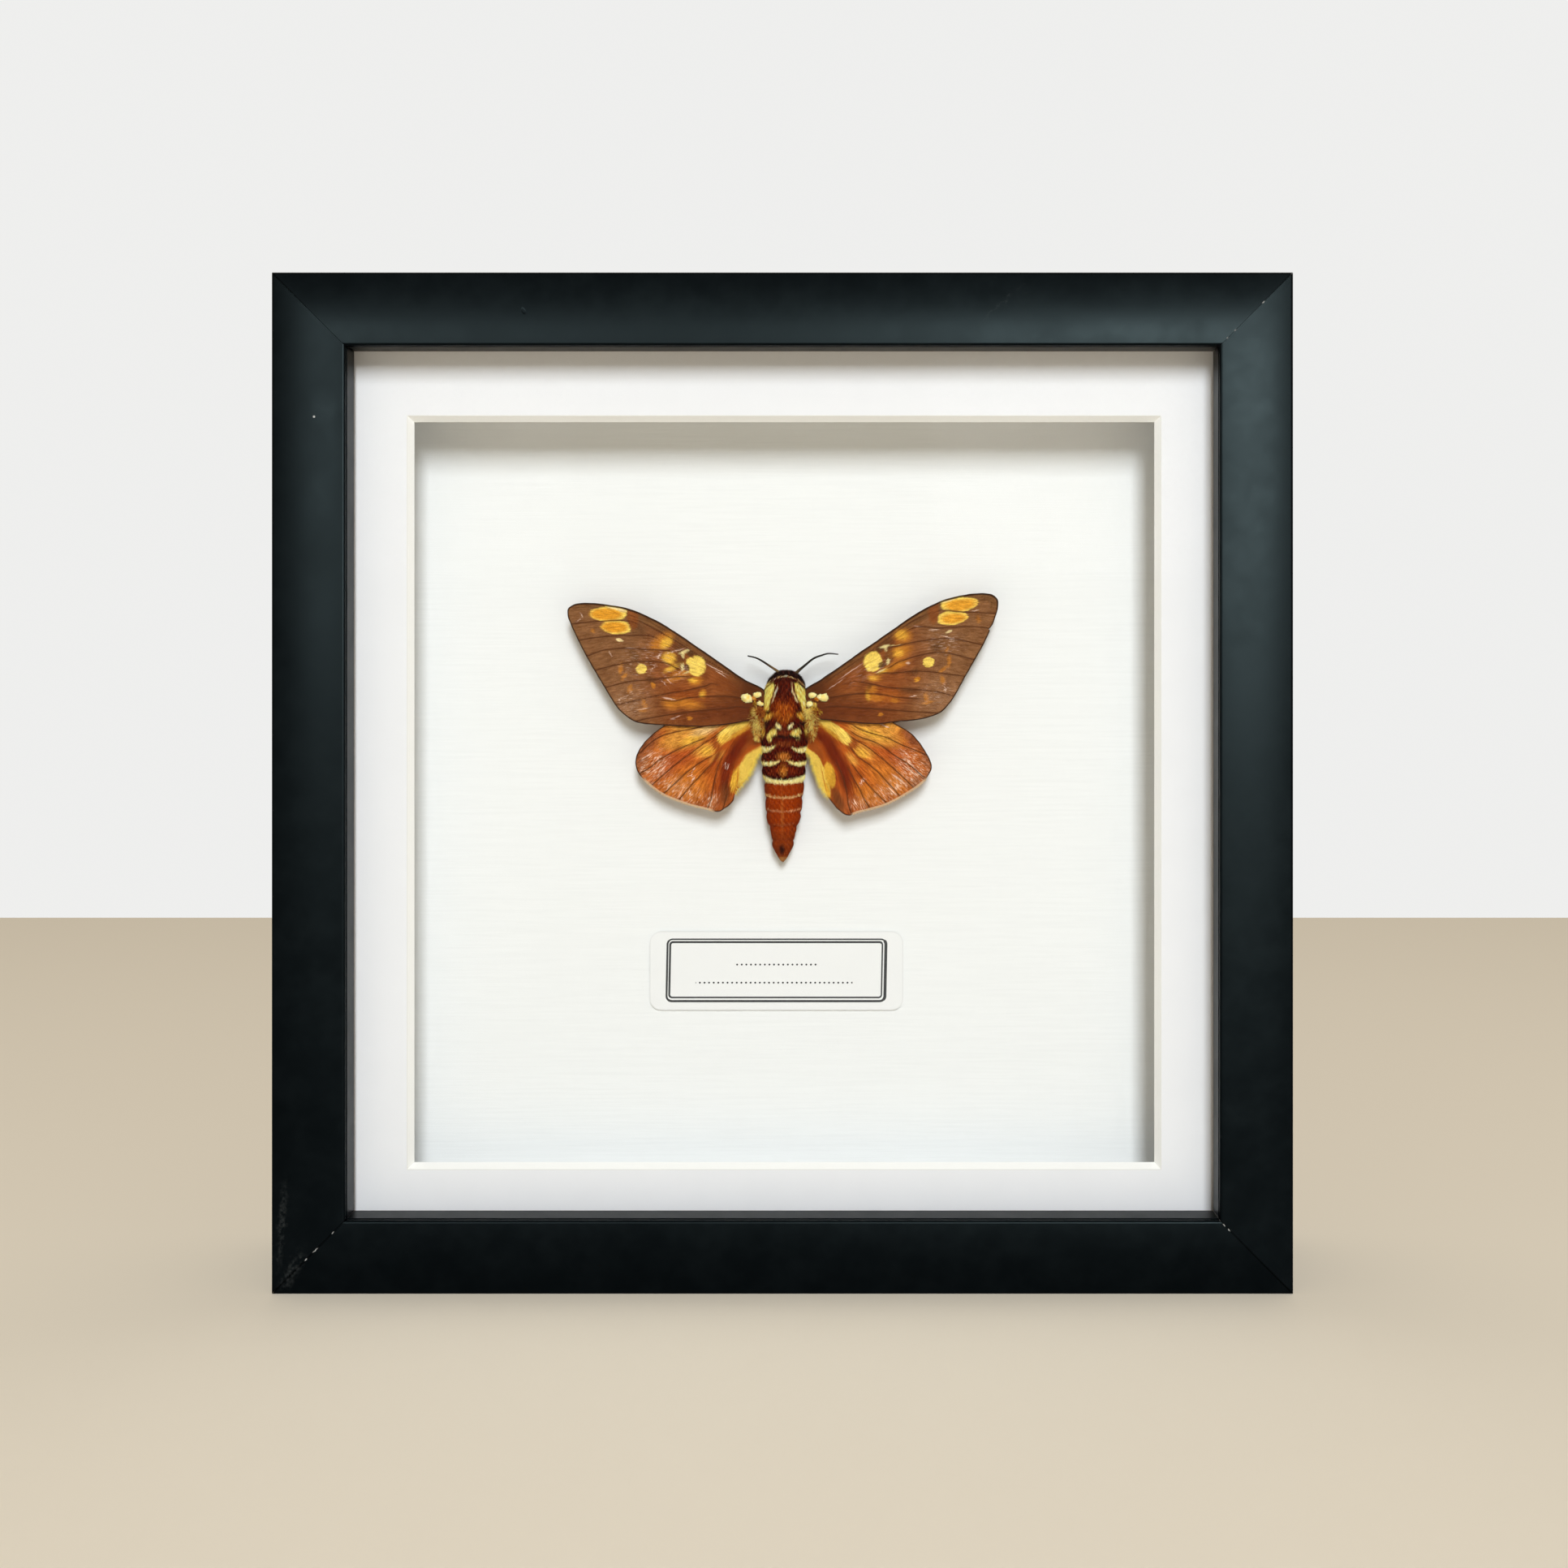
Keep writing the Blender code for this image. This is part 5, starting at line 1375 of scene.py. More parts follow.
def body_tones(across, up, front):
    """Colour of the fur at each place, seen from the front; the underside is plain."""
    count = len(across)
    tones = np.tile(np.array(MAROON), (count, 1))
    tones = lay(tones, smoothstep(up, -19.2, -20.6), UMBER)
    tones = lay_spots(tones, across, up, THORAX_SPOTS)
    tones = lay(tones, band(across, up, -8.4, 0.34, -0.7, -3.2, 4.4), (0.014, 0.004, 0.002))
    tones = lay(tones, oval(across, up, (0.2, -9.6, 3.0, 0.7, 0, 0.6)) * 0.8, (0.20, 0.034, 0.004))
    for corners in SHOULDERS.values():
        tones = lay(tones, inside(across, up, corners, 0.16), BUTTER)
        tones = lay(tones, inside(across, up, corners, 0.5) * smoothstep(up, 1.0, -0.8), STRAW)
    for spot in ((-1.9, 3.8, 1.7, 0.16, 78, 0.4), (-2.7, 1.6, 1.0, 0.16, 66, 0.5),
                 (2.3, 4.6, 1.2, 0.16, -84, 0.4), (3.0, 2.4, 1.7, 0.18, -66, 0.4)):  # fmt: skip
        tones = lay(tones, oval(across, up, spot), (0.92, 0.66, 0.34))
    collar = 7.7 - 0.095 * (across - 0.35) ** 2
    tones = lay(tones, smoothstep(up, collar - 0.1, collar + 0.15), (0.018, 0.002, 0.001))
    tones = lay(tones, smoothstep(np.abs(up - collar + 0.7), 0.5, 0.1) * 0.7, (0.03, 0.004, 0.002))
    tones = lay(tones, smoothstep(np.abs(up - collar), 0.13, 0.05), (0.80, 0.44, 0.17))
    tones = lay(tones, oval(across, up, (0.4, 7.75, 0.6, 0.18, 0, 0.5)), (1.0, 0.80, 0.46))
    # Abdomen: two bands that part in the middle, a full one, and thin lines
    yellowish = (1.0, 0.77, 0.28)
    for corners in PARTED_BANDS:
        tones = lay(tones, inside(across, up, corners, 0.14), yellowish)
    tones = lay_spots(tones, across, up, ABDOMEN_SPOTS)
    lean = 1 - ((across - 0.35 - 0.0245 * up) / 5.0) ** 2
    top, foot = -17.9 - 0.95 * lean, -19.5 - 0.40 * lean + 0.40 * ripple(across * 9, up * 0.4, 46)
    tones = lay(tones, smoothstep(np.abs(up - top - 0.25), 0.45, 0.15) * lean, (0.010, 0.008, 0.006))
    full = smoothstep(up, top + 0.12, top - 0.12) * smoothstep(up, foot - 0.15, foot + 0.15)
    tones = lay(tones, full, CREAM)
    # Thin lines between the segments end in fine teeth
    teeth = up + 0.40 * ripple(across * 13, up * 0.5, 47)
    tones = lay(tones, band(across, teeth, -22.7, 0.17, 0.75, soft=0.10), (0.90, 0.52, 0.20))
    tones = lay(tones, band(across, teeth, -26.2, 0.09, 0.75, soft=0.10), (0.86, 0.44, 0.19))
    tones = lay(tones, band(across, teeth, -30.0, 0.06, 0.4, -2.6, 2.6, 0.10) * 0.7, (0.62, 0.26, 0.09))
    tones = lay(tones, oval(across, up, (-0.4, -27.6, 0.4, 6.0, 0, 0.9)) * 0.20, (0.72, 0.32, 0.07))
    tones = lay(tones, smoothstep(up, -29, -36) * 0.60, (0.23, 0.046, 0.006))
    tones = lay(tones, oval(across, up, (-0.6, -37.0, 0.8, 1.5, 0, 0.8)), (0.035, 0.006, 0.003))
    tones = lay(tones, smoothstep(up, -38.6, -39.4), (0.44, 0.20, 0.06))
    under = np.tile(np.array((0.20, 0.060, 0.015)), (count, 1))
    under = lay(under, smoothstep(up, -9, -12), (0.27, 0.085, 0.018))
    # Painted shade and light in waves over the fur: darker and deeper in colour where the fur parts, paler
    # where it is ruffled
    calm = 1 - 0.62 * smoothstep(up, -17, -20)
    coarse, fine = ripple(across * 9, up * 5, 41), ripple(across * 24, up * 8, 43)
    clump_shading = ((2.0 * coarse + 1.6 * fine) * calm)[:, None]
    tones = np.clip(tones, 0, 1) ** np.exp(-0.20 * clump_shading) * np.exp(0.44 * clump_shading)
    return under + (tones - under) * front[:, None]


def body_relief(across, up, front):
    """How far the skin stands out from the smooth body, in millimetres."""
    relief = np.full(len(across), -0.12)
    for corners in SHOULDERS.values():
        relief += 0.30 * inside(across, up, corners, 0.5) * front
    relief += 0.18 * oval(across, up, (0.2, 0.4, 2.6, 4.6, 0, 0.5)) * front
    relief -= 0.16 * oval(across, up, (0.2, -4.4, 4.6, 0.6, 0, 0.8)) * front
    collar = 7.5 - 0.095 * (across - 0.35) ** 2
    relief -= 0.10 * np.exp(-(((up - collar) / 0.45) ** 2))
    for join in SEGMENT_JOINS:
        below = (join - up) / 0.9
        relief -= 0.16 * np.exp(-(below**2)) * smoothstep(below, -0.3, 0.3)
        relief += 0.10 * np.exp(-(((up - join - 0.6) / 0.7) ** 2))
    relief += 0.05 * ripple(across * 1.8, up * 1.8, 3)
    return relief


def place_on_moth(points):
    return (points[:, 0] - MOTH_CENTRE[0]) / MM, (points[:, 2] - MOTH_CENTRE[1]) / MM


def build_skin():
    """The body under its fur: the CAD body made fine, drawn in a little and modelled."""
    skin = merged_copy("moth_body", "moth_skin")
    remesh = skin.modifiers.new("fine", "REMESH")
    remesh.mode = "VOXEL"
    remesh.voxel_size = 0.3 * MM
    soften = skin.modifiers.new("soften", "SMOOTH")
    soften.factor = 0.5
    soften.iterations = 8
    bake_modifiers(skin)
    points, normals = points_of(skin), normals_of(skin)
    across, up = place_on_moth(points)
    front = smoothstep(-normals[:, 1], -0.25, 0.15)
    points += normals * (body_relief(across, up, front) * MM)[:, None]
    points[:, 0] += 0.22 * MM * smoothstep(up, -16, -20)
    move_points(skin, points)
    tones = body_tones(across, up, front)
    # Painted shade: the skin under the fur is a little darker and deeper in colour than the fur
    colour_points(skin.data, np.clip(tones, 0, 1) ** 1.1 * 0.9)
    return dress(skin, fur_finish("moth_skin_fur", 0.45), "moth_fur", "moth_body", smooth=60)


def scatter(piece, count, rng):
    """Places spread evenly over a mesh, with the normal at each."""
    mesh = piece.data
    mesh.calc_loop_triangles()
    corners = np.empty(len(mesh.loop_triangles) * 3, np.int32)
    mesh.loop_triangles.foreach_get("vertices", corners)
    corners = corners.reshape(-1, 3)
    points, normals = points_of(piece), normals_of(piece)
    a, b, c = (points[corners[:, k]] for k in range(3))
    area = np.linalg.norm(np.cross(b - a, c - a), axis=1)
    picks = np.searchsorted(np.cumsum(area) / area.sum(), rng.random(count))
    first, second = rng.random(count), rng.random(count)
    flip = first + second > 1
    first[flip], second[flip] = 1 - first[flip], 1 - second[flip]
    shares = np.column_stack((1 - first - second, first, second))[:, :, None]
    places = (points[corners[picks]] * shares).sum(axis=1)
    facing = (normals[corners[picks]] * shares).sum(axis=1)
    return places, unit(facing)


def build_fur(skin):
    """Hairs over the body, combed towards the tail and raised at the thorax."""
    settings = bpy.context.scene.moth_body
    rng = np.random.default_rng(11)
    roots, normals = scatter(skin, settings.hairs, rng)
    count = len(roots)
    across, up = place_on_moth(roots)
    tail = np.tile((0.0, 0.0, -1.0), (count, 1))
    head = smoothstep(up, 7.2, 8.4)
    tail += head[:, None] * (0, 0, 1.6)
    shoulder = smoothstep(np.abs(across), 2.2, 4.5) * smoothstep(up, -3, -1) * smoothstep(up, 6, 4)
    tail[:, 0] += np.sign(across) * shoulder * 0.25
    tail += rng.normal(0, 0.20, (count, 3))
    flat = unit(tail - normals * (tail * normals).sum(axis=1)[:, None])
    thorax = smoothstep(up, -10.5, -8.5)
    rise = np.radians(5 + 5 * thorax + 25 * head + rng.normal(0, 4, count))
    ways = flat * np.cos(rise)[:, None] + normals * np.sin(rise)[:, None]
    lengths = settings.hair_length * (0.62 + 0.38 * thorax) * (1 - 0.35 * head)
    lengths *= rng.uniform(0.65, 1.2, count)
    lengths *= 1 - 0.45 * smoothstep(up, -34, -39)
    widths = settings.hair_width * rng.uniform(0.7, 1.25, count)
    middles = roots + ways * (lengths * 0.55)[:, None]
    front = smoothstep(-normals[:, 1], -0.25, 0.15)
    middle_across, middle_up = place_on_moth(middles)
    middle_across = middle_across + rng.normal(0, 0.09, count)
    middle_up = middle_up + rng.normal(0, 0.11, count)
    tones = body_tones(middle_across, middle_up, front)
    tones *= rng.uniform(0.75, 1.40, count)[:, None]
    fur = spikes("moth_fur_coat", roots, ways, normals, lengths, widths, tones)
    dress(fur, fur_finish("moth_coat", 0.80), "moth_fur", smooth=180)
    # Pale hairs are the deepest, so they shade as one soft cushion that faces front
    pale = smoothstep(tones.mean(axis=1), 0.28, 0.60)[:, None]
    shade_like(fur, unit(normals + pale * (0, -1.8, 0.5)), 0.85)
    return fur


def tuft_lump(across, up, half_width, half_height, depth, tone, number):
    """A crumbly lump of packed scales, with painted shade that makes it darker and deeper in colour in its
    hollows.
    """
    clear_selection()
    place = (MOTH_CENTRE[0] + across * MM, depth, MOTH_CENTRE[1] + up * MM)
    bpy.ops.mesh.primitive_ico_sphere_add(subdivisions=5, radius=MM, location=place)
    lump = bpy.context.active_object
    lump.scale = (half_width, 0.62 * min(half_width, half_height) + 0.25, half_height)
    settle(lump)
    points, normals = points_of(lump), normals_of(lump)
    first = points[:, 0] / MM + points[:, 1] / MM * 0.6
    second = points[:, 2] / MM - points[:, 1] / MM * 0.6
    lumpy = ripple(first * 3.4, second * 3.4, number) * 0.26
    bumps = lumpy + ripple(first * 11, second * 11, number + 40) * 0.12
    move_points(lump, points + normals * (bumps * MM)[:, None])
    # Painted shade: darker and deeper in colour where the surface sinks
    hollow_shade = np.exp(-4.0 * bumps)[:, None]
    colour_points(lump.data, np.clip(tone, 0, 1) ** np.clip(hollow_shade, 0.6, 3.0))
    return lump


def build_root_tufts(side):
    """Lumps of packed scales at the root of a forewing, and the loose fur below them."""
    rng = np.random.default_rng(21 if side == "left" else 22)
    lumps, roots, ways, facing, tones, lengths = [], [], [], [], [], []
    for number, (across, up, half_width, half_height, tone, hair, comb) in enumerate(ROOT_TUFTS[side]):
        out = abs(across)
        arch = WING_ARCH * math.sin(math.pi * math.hypot(out, up) / WING_REACH)
        base = WING_PLANES["forewing"] - arch * MM
        depth = base - (0.25 if up > -2 else 0.05) * MM - max(0, 7.2 - out) * 0.55 * MM
        own = np.array(SCALES[tone])
        loose = comb > 0
        size = 0.60 if loose else 0.90
        packed = own**1.3 if loose else own
        lump = tuft_lump(across, up, half_width * size, half_height * size, depth, packed, number)
        count = round((900 if loose else 170) * half_width * half_height)
        places, normals = scatter(lump, count, rng)
        middle = np.array((MOTH_CENTRE[0] + across * MM, depth, MOTH_CENTRE[1] + up * MM))
        spread = unit(places - middle)
        way = spread * 0.9 + normals * 0.3 + rng.normal(0, 0.45 if loose else 0.36, (count, 3))
        way += (SIDES[side] * comb * 0.25, -0.1 * comb, -1.1 * comb)
        roots.append(places)
        ways.append(way)
        facing.append(normals + (0, -1.5, 0))
        lengths.append(rng.uniform(0.4, 1.15, count) * hair * MM)
        # Loose fur mixes pale, rusty and dark hairs
        wisp = ripple(places[:, 0] / MM * 2.6, places[:, 2] / MM * 1.1, 50 + number)
        kind = (0.24 + 0.52 * rng.random(count) + 0.6 * wisp)[:, None]
        mixed = np.where(kind < 0.40, SCALES["straw"], np.where(kind < 0.54, SCALES["rust"], own))
        mixed = np.where(kind > 0.68, SCALES["wine"], mixed)
        shade = rng.uniform(0.90, 1.50, count)[:, None]
        tones.append((mixed if loose else np.tile(own, (count, 1))) * shade)
        lumps.append(lump)
    roots, ways, tones = np.vstack(roots), np.vstack(ways), np.vstack(tones)
    lengths = np.concatenate(lengths)
    widths = rng.uniform(0.10, 0.19, len(roots)) * MM
    facing = unit(np.vstack(facing))
    hairs = spikes(f"root_tufts_{side}", roots, ways, facing, lengths, widths, tones)
    take(hairs)
    for lump in lumps:
        lump.select_set(True)
    bpy.context.view_layer.objects.active = hairs
    bpy.ops.object.join()
    dress(hairs, fur_finish(f"tuft_{side}", 0.85), "moth_fur", smooth=180)
    shade_like(hairs, facing, 0.75)
    return hairs


def build_fringe(side, outline):
    """Hairs along a hindwing: a short pale fringe at the rear edge, a longer yellow one beside the body."""
    rng = np.random.default_rng(31 if side == "left" else 32)
    closed = np.vstack((outline, outline[:1]))
    steps = np.linalg.norm(np.diff(closed, axis=0), axis=1)
    reach = np.concatenate(([0], np.cumsum(steps)))
    count = round(reach[-1] / (0.035 * MM))
    at = np.sort(rng.uniform(0, reach[-1], count))

    def point_at(distance):
        return np.column_stack([np.interp(distance, reach, closed[:, axis]) for axis in range(2)])

    edge = point_at(at)
    out = SIDES[side] * (edge[:, 0] - MOTH_CENTRE[0]) / MM
    up = (edge[:, 1] - MOTH_CENTRE[1]) / MM
    middle = outline.mean(axis=0)
    along = point_at((at + 0.2 * MM) % reach[-1]) - edge
    outward = np.column_stack((along[:, 1], -along[:, 0]))
    outward = unit(outward * np.sign(((edge - middle) * outward).sum(axis=1))[:, None])
    pale = (up < -18.5) & (out > 17.8)
    yellow = (up < -9.5) & (out < 12.4) & (up > -23.4)
    keep = pale | yellow
    edge, out, up, outward, yellow = edge[keep], out[keep], up[keep], outward[keep], yellow[keep]
    count = len(edge)
    arch = WING_ARCH * np.sin(np.pi * np.minimum(np.hypot(out, up) / WING_REACH, 1))
    depth = WING_PLANES["hindwing"] - arch * MM + rng.uniform(-0.06, 0.06, count) * MM
    drawn_in = MOTH_CENTRE[0] + SIDES[side] * tucked("hindwing", out, up) * MM
    roots = np.column_stack((drawn_in, depth, edge[:, 1]))
    inset = np.where(yellow, 0.8, 0.25) * rng.uniform(0.3, 1, count) * MM
    roots -= np.column_stack((outward[:, 0], np.zeros(count), outward[:, 1])) * inset[:, None]
    lean = np.where(yellow, 0.75, 0.15)
    ways = np.column_stack((outward[:, 0], rng.normal(-0.04, 0.08, count), outward[:, 1] - lean))
    ways += rng.normal(0, 0.13, (count, 3))
    lengths = np.where(yellow, rng.uniform(0.9, 1.7, count), rng.uniform(0.25, 0.60, count)) * MM
    widths = rng.uniform(0.08, 0.15, count) * MM
    tones = np.where(yellow[:, None], SCALES["yellow"], SCALES["fringe"])
    tones = tones * rng.uniform(0.8, 1.25, count)[:, None]
    facing = np.tile((0.0, -1.0, 0.0), (count, 1))
    fringe = spikes(f"hindwing_{side}_fringe", roots, ways, facing, lengths, widths, tones)
    dress(fringe, fur_finish(f"fringe_{side}", 0.85), "hindwing_scales", smooth=180)
    shade_like(fringe, facing, 0.8)
    return fringe


def build_feeler(side):
    """A feeler: a tapering bar along its curve."""
    settings = bpy.context.scene.moth_body
    path = smooth_path(FEELERS[side], 8)
    curve = bpy.data.curves.new(f"feeler_{side}", "CURVE")
    curve.dimensions = "3D"
    curve.bevel_depth = settings.feeler_width / 2
    curve.bevel_resolution = 3
    curve.use_fill_caps = True
    spline = curve.splines.new("POLY")
    spline.points.add(len(path) - 1)
    depths = BODY_AXIS - 0.5 * MM - 0.35 * MM * np.sin(np.linspace(0, 1, len(path)) * math.pi)
    for number, (point, place, depth) in enumerate(zip(spline.points, path, depths)):
        share = number / (len(path) - 1)
        x = MOTH_CENTRE[0] + place[0] * MM
        z = MOTH_CENTRE[1] + place[1] * MM
        point.co = (x, depth, z, 1)
        point.radius = 1.0 - 0.26 * smoothstep(share, 0.0, 0.35) - 0.40 * share
    feeler = bpy.data.objects.new(f"feeler_{side}", curve)
    bpy.context.scene.collection.objects.link(feeler)
    take(feeler)
    bpy.ops.object.convert(target="MESH")
    feeler = bpy.context.active_object
    bpy.ops.object.mode_set(mode="EDIT")
    bpy.ops.mesh.select_all(action="SELECT")
    bpy.ops.mesh.remove_doubles(threshold=0.002 * MM)
    bpy.ops.mesh.normals_make_consistent(inside=False)
    bpy.ops.object.mode_set(mode="OBJECT")
    return dress(feeler, horn_finish(), "antenna_horn", f"antenna_{side}", smooth=60)


def build_eye(side):
    """A compound eye low on the side of the head."""
    clear_selection()
    place = (MOTH_CENTRE[0] + (0.4 + SIDES[side] * 3.1) * MM, BODY_AXIS + 0.9 * MM, MOTH_CENTRE[1] + 6.1 * MM)
    bpy.ops.mesh.primitive_uv_sphere_add(segments=40, ring_count=24, radius=1.4 * MM, location=place)
    eye = bpy.context.active_object
    eye.name = f"eye_{side}"
    eye.data.name = eye.name
    eye.scale = (0.85, 1.0, 0.95)
    eye.rotation_euler = (0, math.radians(90), 0)
    settle(eye)
    return dress(eye, eye_finish(), "antenna_horn")


# Frame


def build_rail(side, ring):
    """A rail whose mitred ends close up to a hairline, with a fine groove behind the lip's edge."""
    settings = bpy.context.scene.moth_frame
    rail = merged_copy(f"frame_rail_{side}", f"rail_{side}")
    points = points_of(rail)
    axis, _ = (0, 2) if side in ("bottom", "top") else (2, 0)
    middle = FRAME_MIDDLE[axis]
    cad_gap = 0.3 * MM
    grow = (cad_gap - settings.mitre_gap) / math.sqrt(2)
    points[:, axis] += np.sign(points[:, axis] - middle) * grow
    move_points(rail, points)
    take(rail)
    bpy.ops.object.mode_set(mode="EDIT")
    bpy.ops.mesh.select_all(action="SELECT")
    bpy.ops.mesh.dissolve_limited(angle_limit=math.radians(0.5))
    bpy.ops.object.mode_set(mode="OBJECT")
    boolean(rail, ring_copy(ring), "DIFFERENCE")
    return rail


def ring_copy(ring):
    made = bpy.data.objects.new("groove", ring.data.copy())
    bpy.context.scene.collection.objects.link(made)
    return made


def groove_ring():
    """A square ring that cuts the groove in all four rails."""
    settings = bpy.context.scene.moth_frame
    front = FRONT + 0.95 * MM
    back = front + settings.groove_width
    outer = HALF_SIDE - FACE_WIDTH + settings.groove_depth
    inner = HALF_SIDE - FACE_WIDTH - 1 * MM
    ring = bar("groove_ring", (-outer, front, HALF_SIDE - outer), (outer, back, HALF_SIDE + outer))
    hole = bar("groove_hole", (-inner, front - MM, HALF_SIDE - inner), (inner, back + MM, HALF_SIDE + inner))
    boolean(ring, hole, "DIFFERENCE")
    return ring


# Operators


class MOTH_OT_frame_rails(bpy.types.Operator):
    """Build the four lacquered rails"""

    bl_idname = "moth.frame_rails"
    bl_label = "Frame Rails"
    bl_options = {"REGISTER", "UNDO"}

    def execute(self, context):
        ring = groove_ring()
        finish = lacquer_finish()
        for side in ("bottom", "left", "top", "right"):
            rail = build_rail(side, ring)
            dress(rail, finish, "black_frame", f"frame_rail_{side}", smooth=30)
        bpy.data.objects.remove(ring)
        return {"FINISHED"}


class MOTH_OT_sheets(bpy.types.Operator):
    """Finish the glass, mat, spacers, board, label and back panel"""

    bl_idname = "moth.sheets"
    bl_label = "Sheets and Label"
    bl_options = {"REGISTER", "UNDO"}

    def execute(self, context):
        card = card_finish()
        paint_node("glazing", glass_finish())
        for node in ("mat", "spacer_top", "spacer_bottom", "spacer_left", "spacer_right"):
            paint_node(node, card)
        paint_node("mount_board", linen_finish())
        paint_node("label", label_finish())
        paint_node("back_panel", hardboard_finish())
        return {"FINISHED"}


class MOTH_OT_hardware(bpy.types.Operator):
    """Finish the steel tabs, the hanger and its nails"""

    bl_idname = "moth.hardware"
    bl_label = "Hardware"
    bl_options = {"REGISTER", "UNDO"}

    def execute(self, context):
        steel = steel_finish()
        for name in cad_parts:
            if name.startswith(("retaining_tab", "hanger")):
                paint_node(name, steel)
        return {"FINISHED"}


class MOTH_OT_wings(bpy.types.Operator):
    """Build the four wings and the fringes of the hindwings"""

    bl_idname = "moth.wings"
    bl_label = "Wings"
    bl_options = {"REGISTER", "UNDO"}

    def execute(self, context):
        for side in SIDES:
            build_wing("forewing", side)
            outline = build_wing("hindwing", side)
            build_fringe(side, outline)
        return {"FINISHED"}


class MOTH_OT_body(bpy.types.Operator):
    """Build the furry body, its tufts and its eyes"""

    bl_idname = "moth.body"
    bl_label = "Body"
    bl_options = {"REGISTER", "UNDO"}

    def execute(self, context):
        build_fur(build_skin())
        for side in SIDES:
            build_root_tufts(side)
            build_eye(side)
        return {"FINISHED"}


class MOTH_OT_feelers(bpy.types.Operator):
    """Build the two feelers"""

    bl_idname = "moth.feelers"
    bl_label = "Feelers"
    bl_options = {"REGISTER", "UNDO"}

    def execute(self, context):
        for side in SIDES:
            build_feeler(side)
        return {"FINISHED"}


class MOTH_OT_stage(bpy.types.Operator):
    """Set the camera, the floor and the light"""

    bl_idname = "moth.stage"
    bl_label = "Stage"
    bl_options = {"REGISTER", "UNDO"}

    def execute(self, context):
        settings = context.scene.moth_stage
        add_camera(context)
        add_floor(settings)
        add_lights(settings)
        add_room_light(context, settings)
        context.scene.view_settings.view_transform = "Standard"
        return {"FINISHED"}


def add_camera(context):
    lens = bpy.data.cameras.new("camera")
    lens.sensor_fit = "HORIZONTAL"
    lens.angle = 2 * math.atan(PICTURE_SIDE / 2 / FOCAL_PIXELS)
    lens.shift_x = -(AXIS_PIXEL[0] - PICTURE_SIDE / 2) / PICTURE_SIDE
    lens.shift_y = (AXIS_PIXEL[1] - PICTURE_SIDE / 2) / PICTURE_SIDE
    camera = bpy.data.objects.new("camera", lens)
    camera.location = CAMERA_PLACE
    camera.rotation_euler = (math.radians(90), 0, 0)
    context.scene.collection.objects.link(camera)
    context.scene.camera = camera


def add_floor(settings):
    clear_selection()
    bpy.ops.mesh.primitive_plane_add(size=1, location=(0, -0.9, 0))
    floor = bpy.context.active_object
    floor.name = "floor"
    floor.scale = (3.6, 3.0, 1)
    settle(floor)
    finish = Finish("floor_paint", Roughness=0.75, Specular_IOR_Level=0.2)
    cloud = finish.noise(finish.place(), 0.01, 2.0, 0.5)
    tone = finish.mix(cloud * 0.25, settings.floor, dimmed(settings.floor, 0.97))
    floor.data.materials.append(finish.end(Base_Color=tone))
    floor.visible_glossy = False


def add_panel(name, place, width, height, power, tint):
    """A rectangular light that faces the middle of the frame."""
    lamp = bpy.data.lights.new(name, "AREA")
    lamp.shape = "RECTANGLE"
    lamp.size = width
    lamp.size_y = height
    lamp.energy = power
    lamp.color = tint
    light = bpy.data.objects.new(name, lamp)
    light.location = place
    aim = Vector((0, 0, HALF_SIDE)) - light.location
    light.rotation_euler = aim.to_track_quat("-Z", "Y").to_euler()
    bpy.context.scene.collection.objects.link(light)
    return light


def add_lights(settings):
    """A broad soft light above and to the right, and two pale panels that only the lacquer mirrors."""
    key = add_panel("key", (0.34, -2.90, 1.70), 0.80, 1.30, settings.key_power, (0.888, 0.942, 1.0))
    key.visible_glossy = False
    distance, height = 2.5, 0.42
    for name, degrees, width, radiance in (("panel_right", 18, 1.30, 26), ("panel_left", -20, 0.85, 12)):
        turn = math.radians(degrees)
        place = (distance * math.sin(turn), -distance * math.cos(turn), HALF_SIDE + 0.39)
        power = radiance * math.pi * width * height
        panel = add_panel(name, place, width, height, power, (1.0, 1.0, 1.0))
        panel.visible_diffuse = False


def ramp(nodes, value, start, end, low, high):
    """Goes evenly from low to high while the value goes from start to end."""
    inputs = {"Value": value, "From Min": start, "From Max": end, "To Min": low, "To Max": high}
    return nodes.node("MapRange", None, inputs)


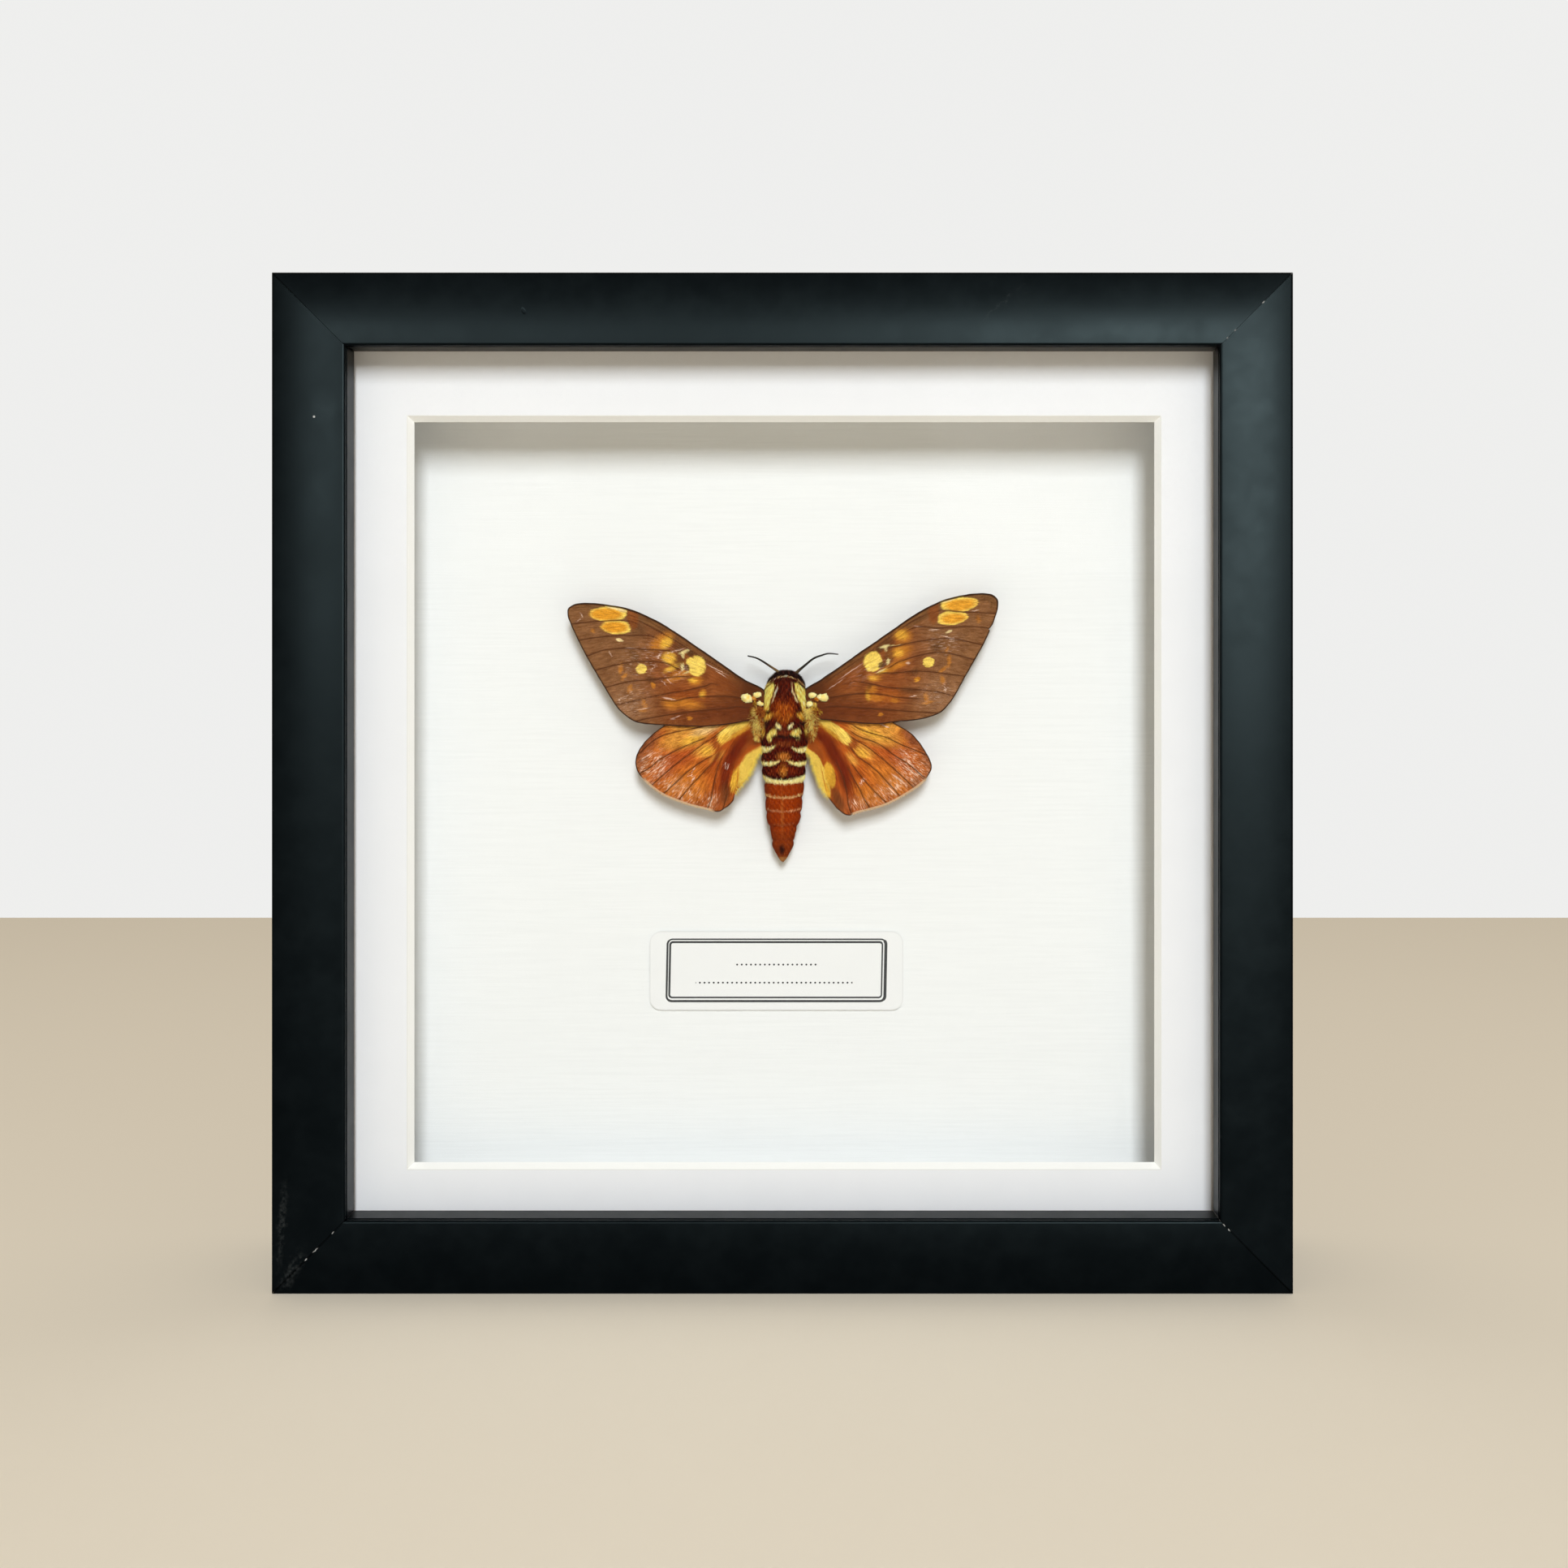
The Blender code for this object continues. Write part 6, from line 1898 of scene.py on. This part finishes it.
def add_room_light(context, settings):
    """Light from above and all round, dim where the lacquer mirrors it. The camera sees one pale tone."""
    world = bpy.data.worlds.new("room")
    context.scene.world = world
    world.use_nodes = True
    world.cycles.sampling_method = "NONE"
    room = Nodes(world.node_tree)
    _, depth, height = room.split(room.node("TexCoord"))
    rays = room.node("LightPath").socket.node.outputs
    fill = ramp(room, height, -0.1, 0.3, 0.1 * settings.room, settings.room)
    fill = fill * ramp(room, depth, 0.0, 0.3, 1.0, 1.6)
    light = room.node("Background", None, {"Color": (1.0, 0.90, 0.74), "Strength": fill})
    mirrored = room.maths("LESS_THAN", depth, 0.0) * Value(room, rays["Is Glossy Ray"])
    seen = Value(room, rays["Is Camera Ray"])
    for chosen, tone, strength in ((mirrored, (1, 1, 1), 0.06), (seen, settings.backdrop, 1.0)):
        tint = room.node("Background", None, {"Color": tone, "Strength": strength})
        light = room.node("MixShader", None, {0: chosen, 1: light, 2: tint})
    room.feed(room.tree.nodes["World Output"].inputs["Surface"], light)


class MOTH_PT_panel(bpy.types.Panel):
    """Pieces of the framed moth"""

    bl_idname = "MOTH_PT_panel"
    bl_label = "Framed Moth"
    bl_space_type = "VIEW_3D"
    bl_region_type = "UI"
    bl_category = "Moth"

    def draw(self, context):
        for operator in OPERATORS:
            self.layout.operator(operator.bl_idname)
        for name in SETTINGS:
            box = self.layout.box()
            group = getattr(context.scene, name)
            for field in group.bl_rna.properties:
                if field.identifier not in ("name", "rna_type"):
                    box.prop(group, field.identifier)


OPERATORS = (
    MOTH_OT_stage,
    MOTH_OT_frame_rails,
    MOTH_OT_sheets,
    MOTH_OT_hardware,
    MOTH_OT_wings,
    MOTH_OT_body,
    MOTH_OT_feelers,
)
SETTINGS = {
    "moth_frame": FrameSettings,
    "moth_sheets": SheetSettings,
    "moth_body": MothSettings,
    "moth_stage": StageSettings,
}


def register():
    for name, group in SETTINGS.items():
        bpy.utils.register_class(group)
        setattr(bpy.types.Scene, name, bpy.props.PointerProperty(type=group))
    for item in (*OPERATORS, MOTH_PT_panel):
        bpy.utils.register_class(item)


def unregister():
    for item in reversed((*OPERATORS, MOTH_PT_panel)):
        bpy.utils.unregister_class(item)
    for name, group in SETTINGS.items():
        delattr(bpy.types.Scene, name)
        bpy.utils.unregister_class(group)


def main():
    register()
    for operator in OPERATORS:
        category, name = operator.bl_idname.split(".")
        getattr(getattr(bpy.ops, category), name)()


if __name__ == "__main__":
    main()
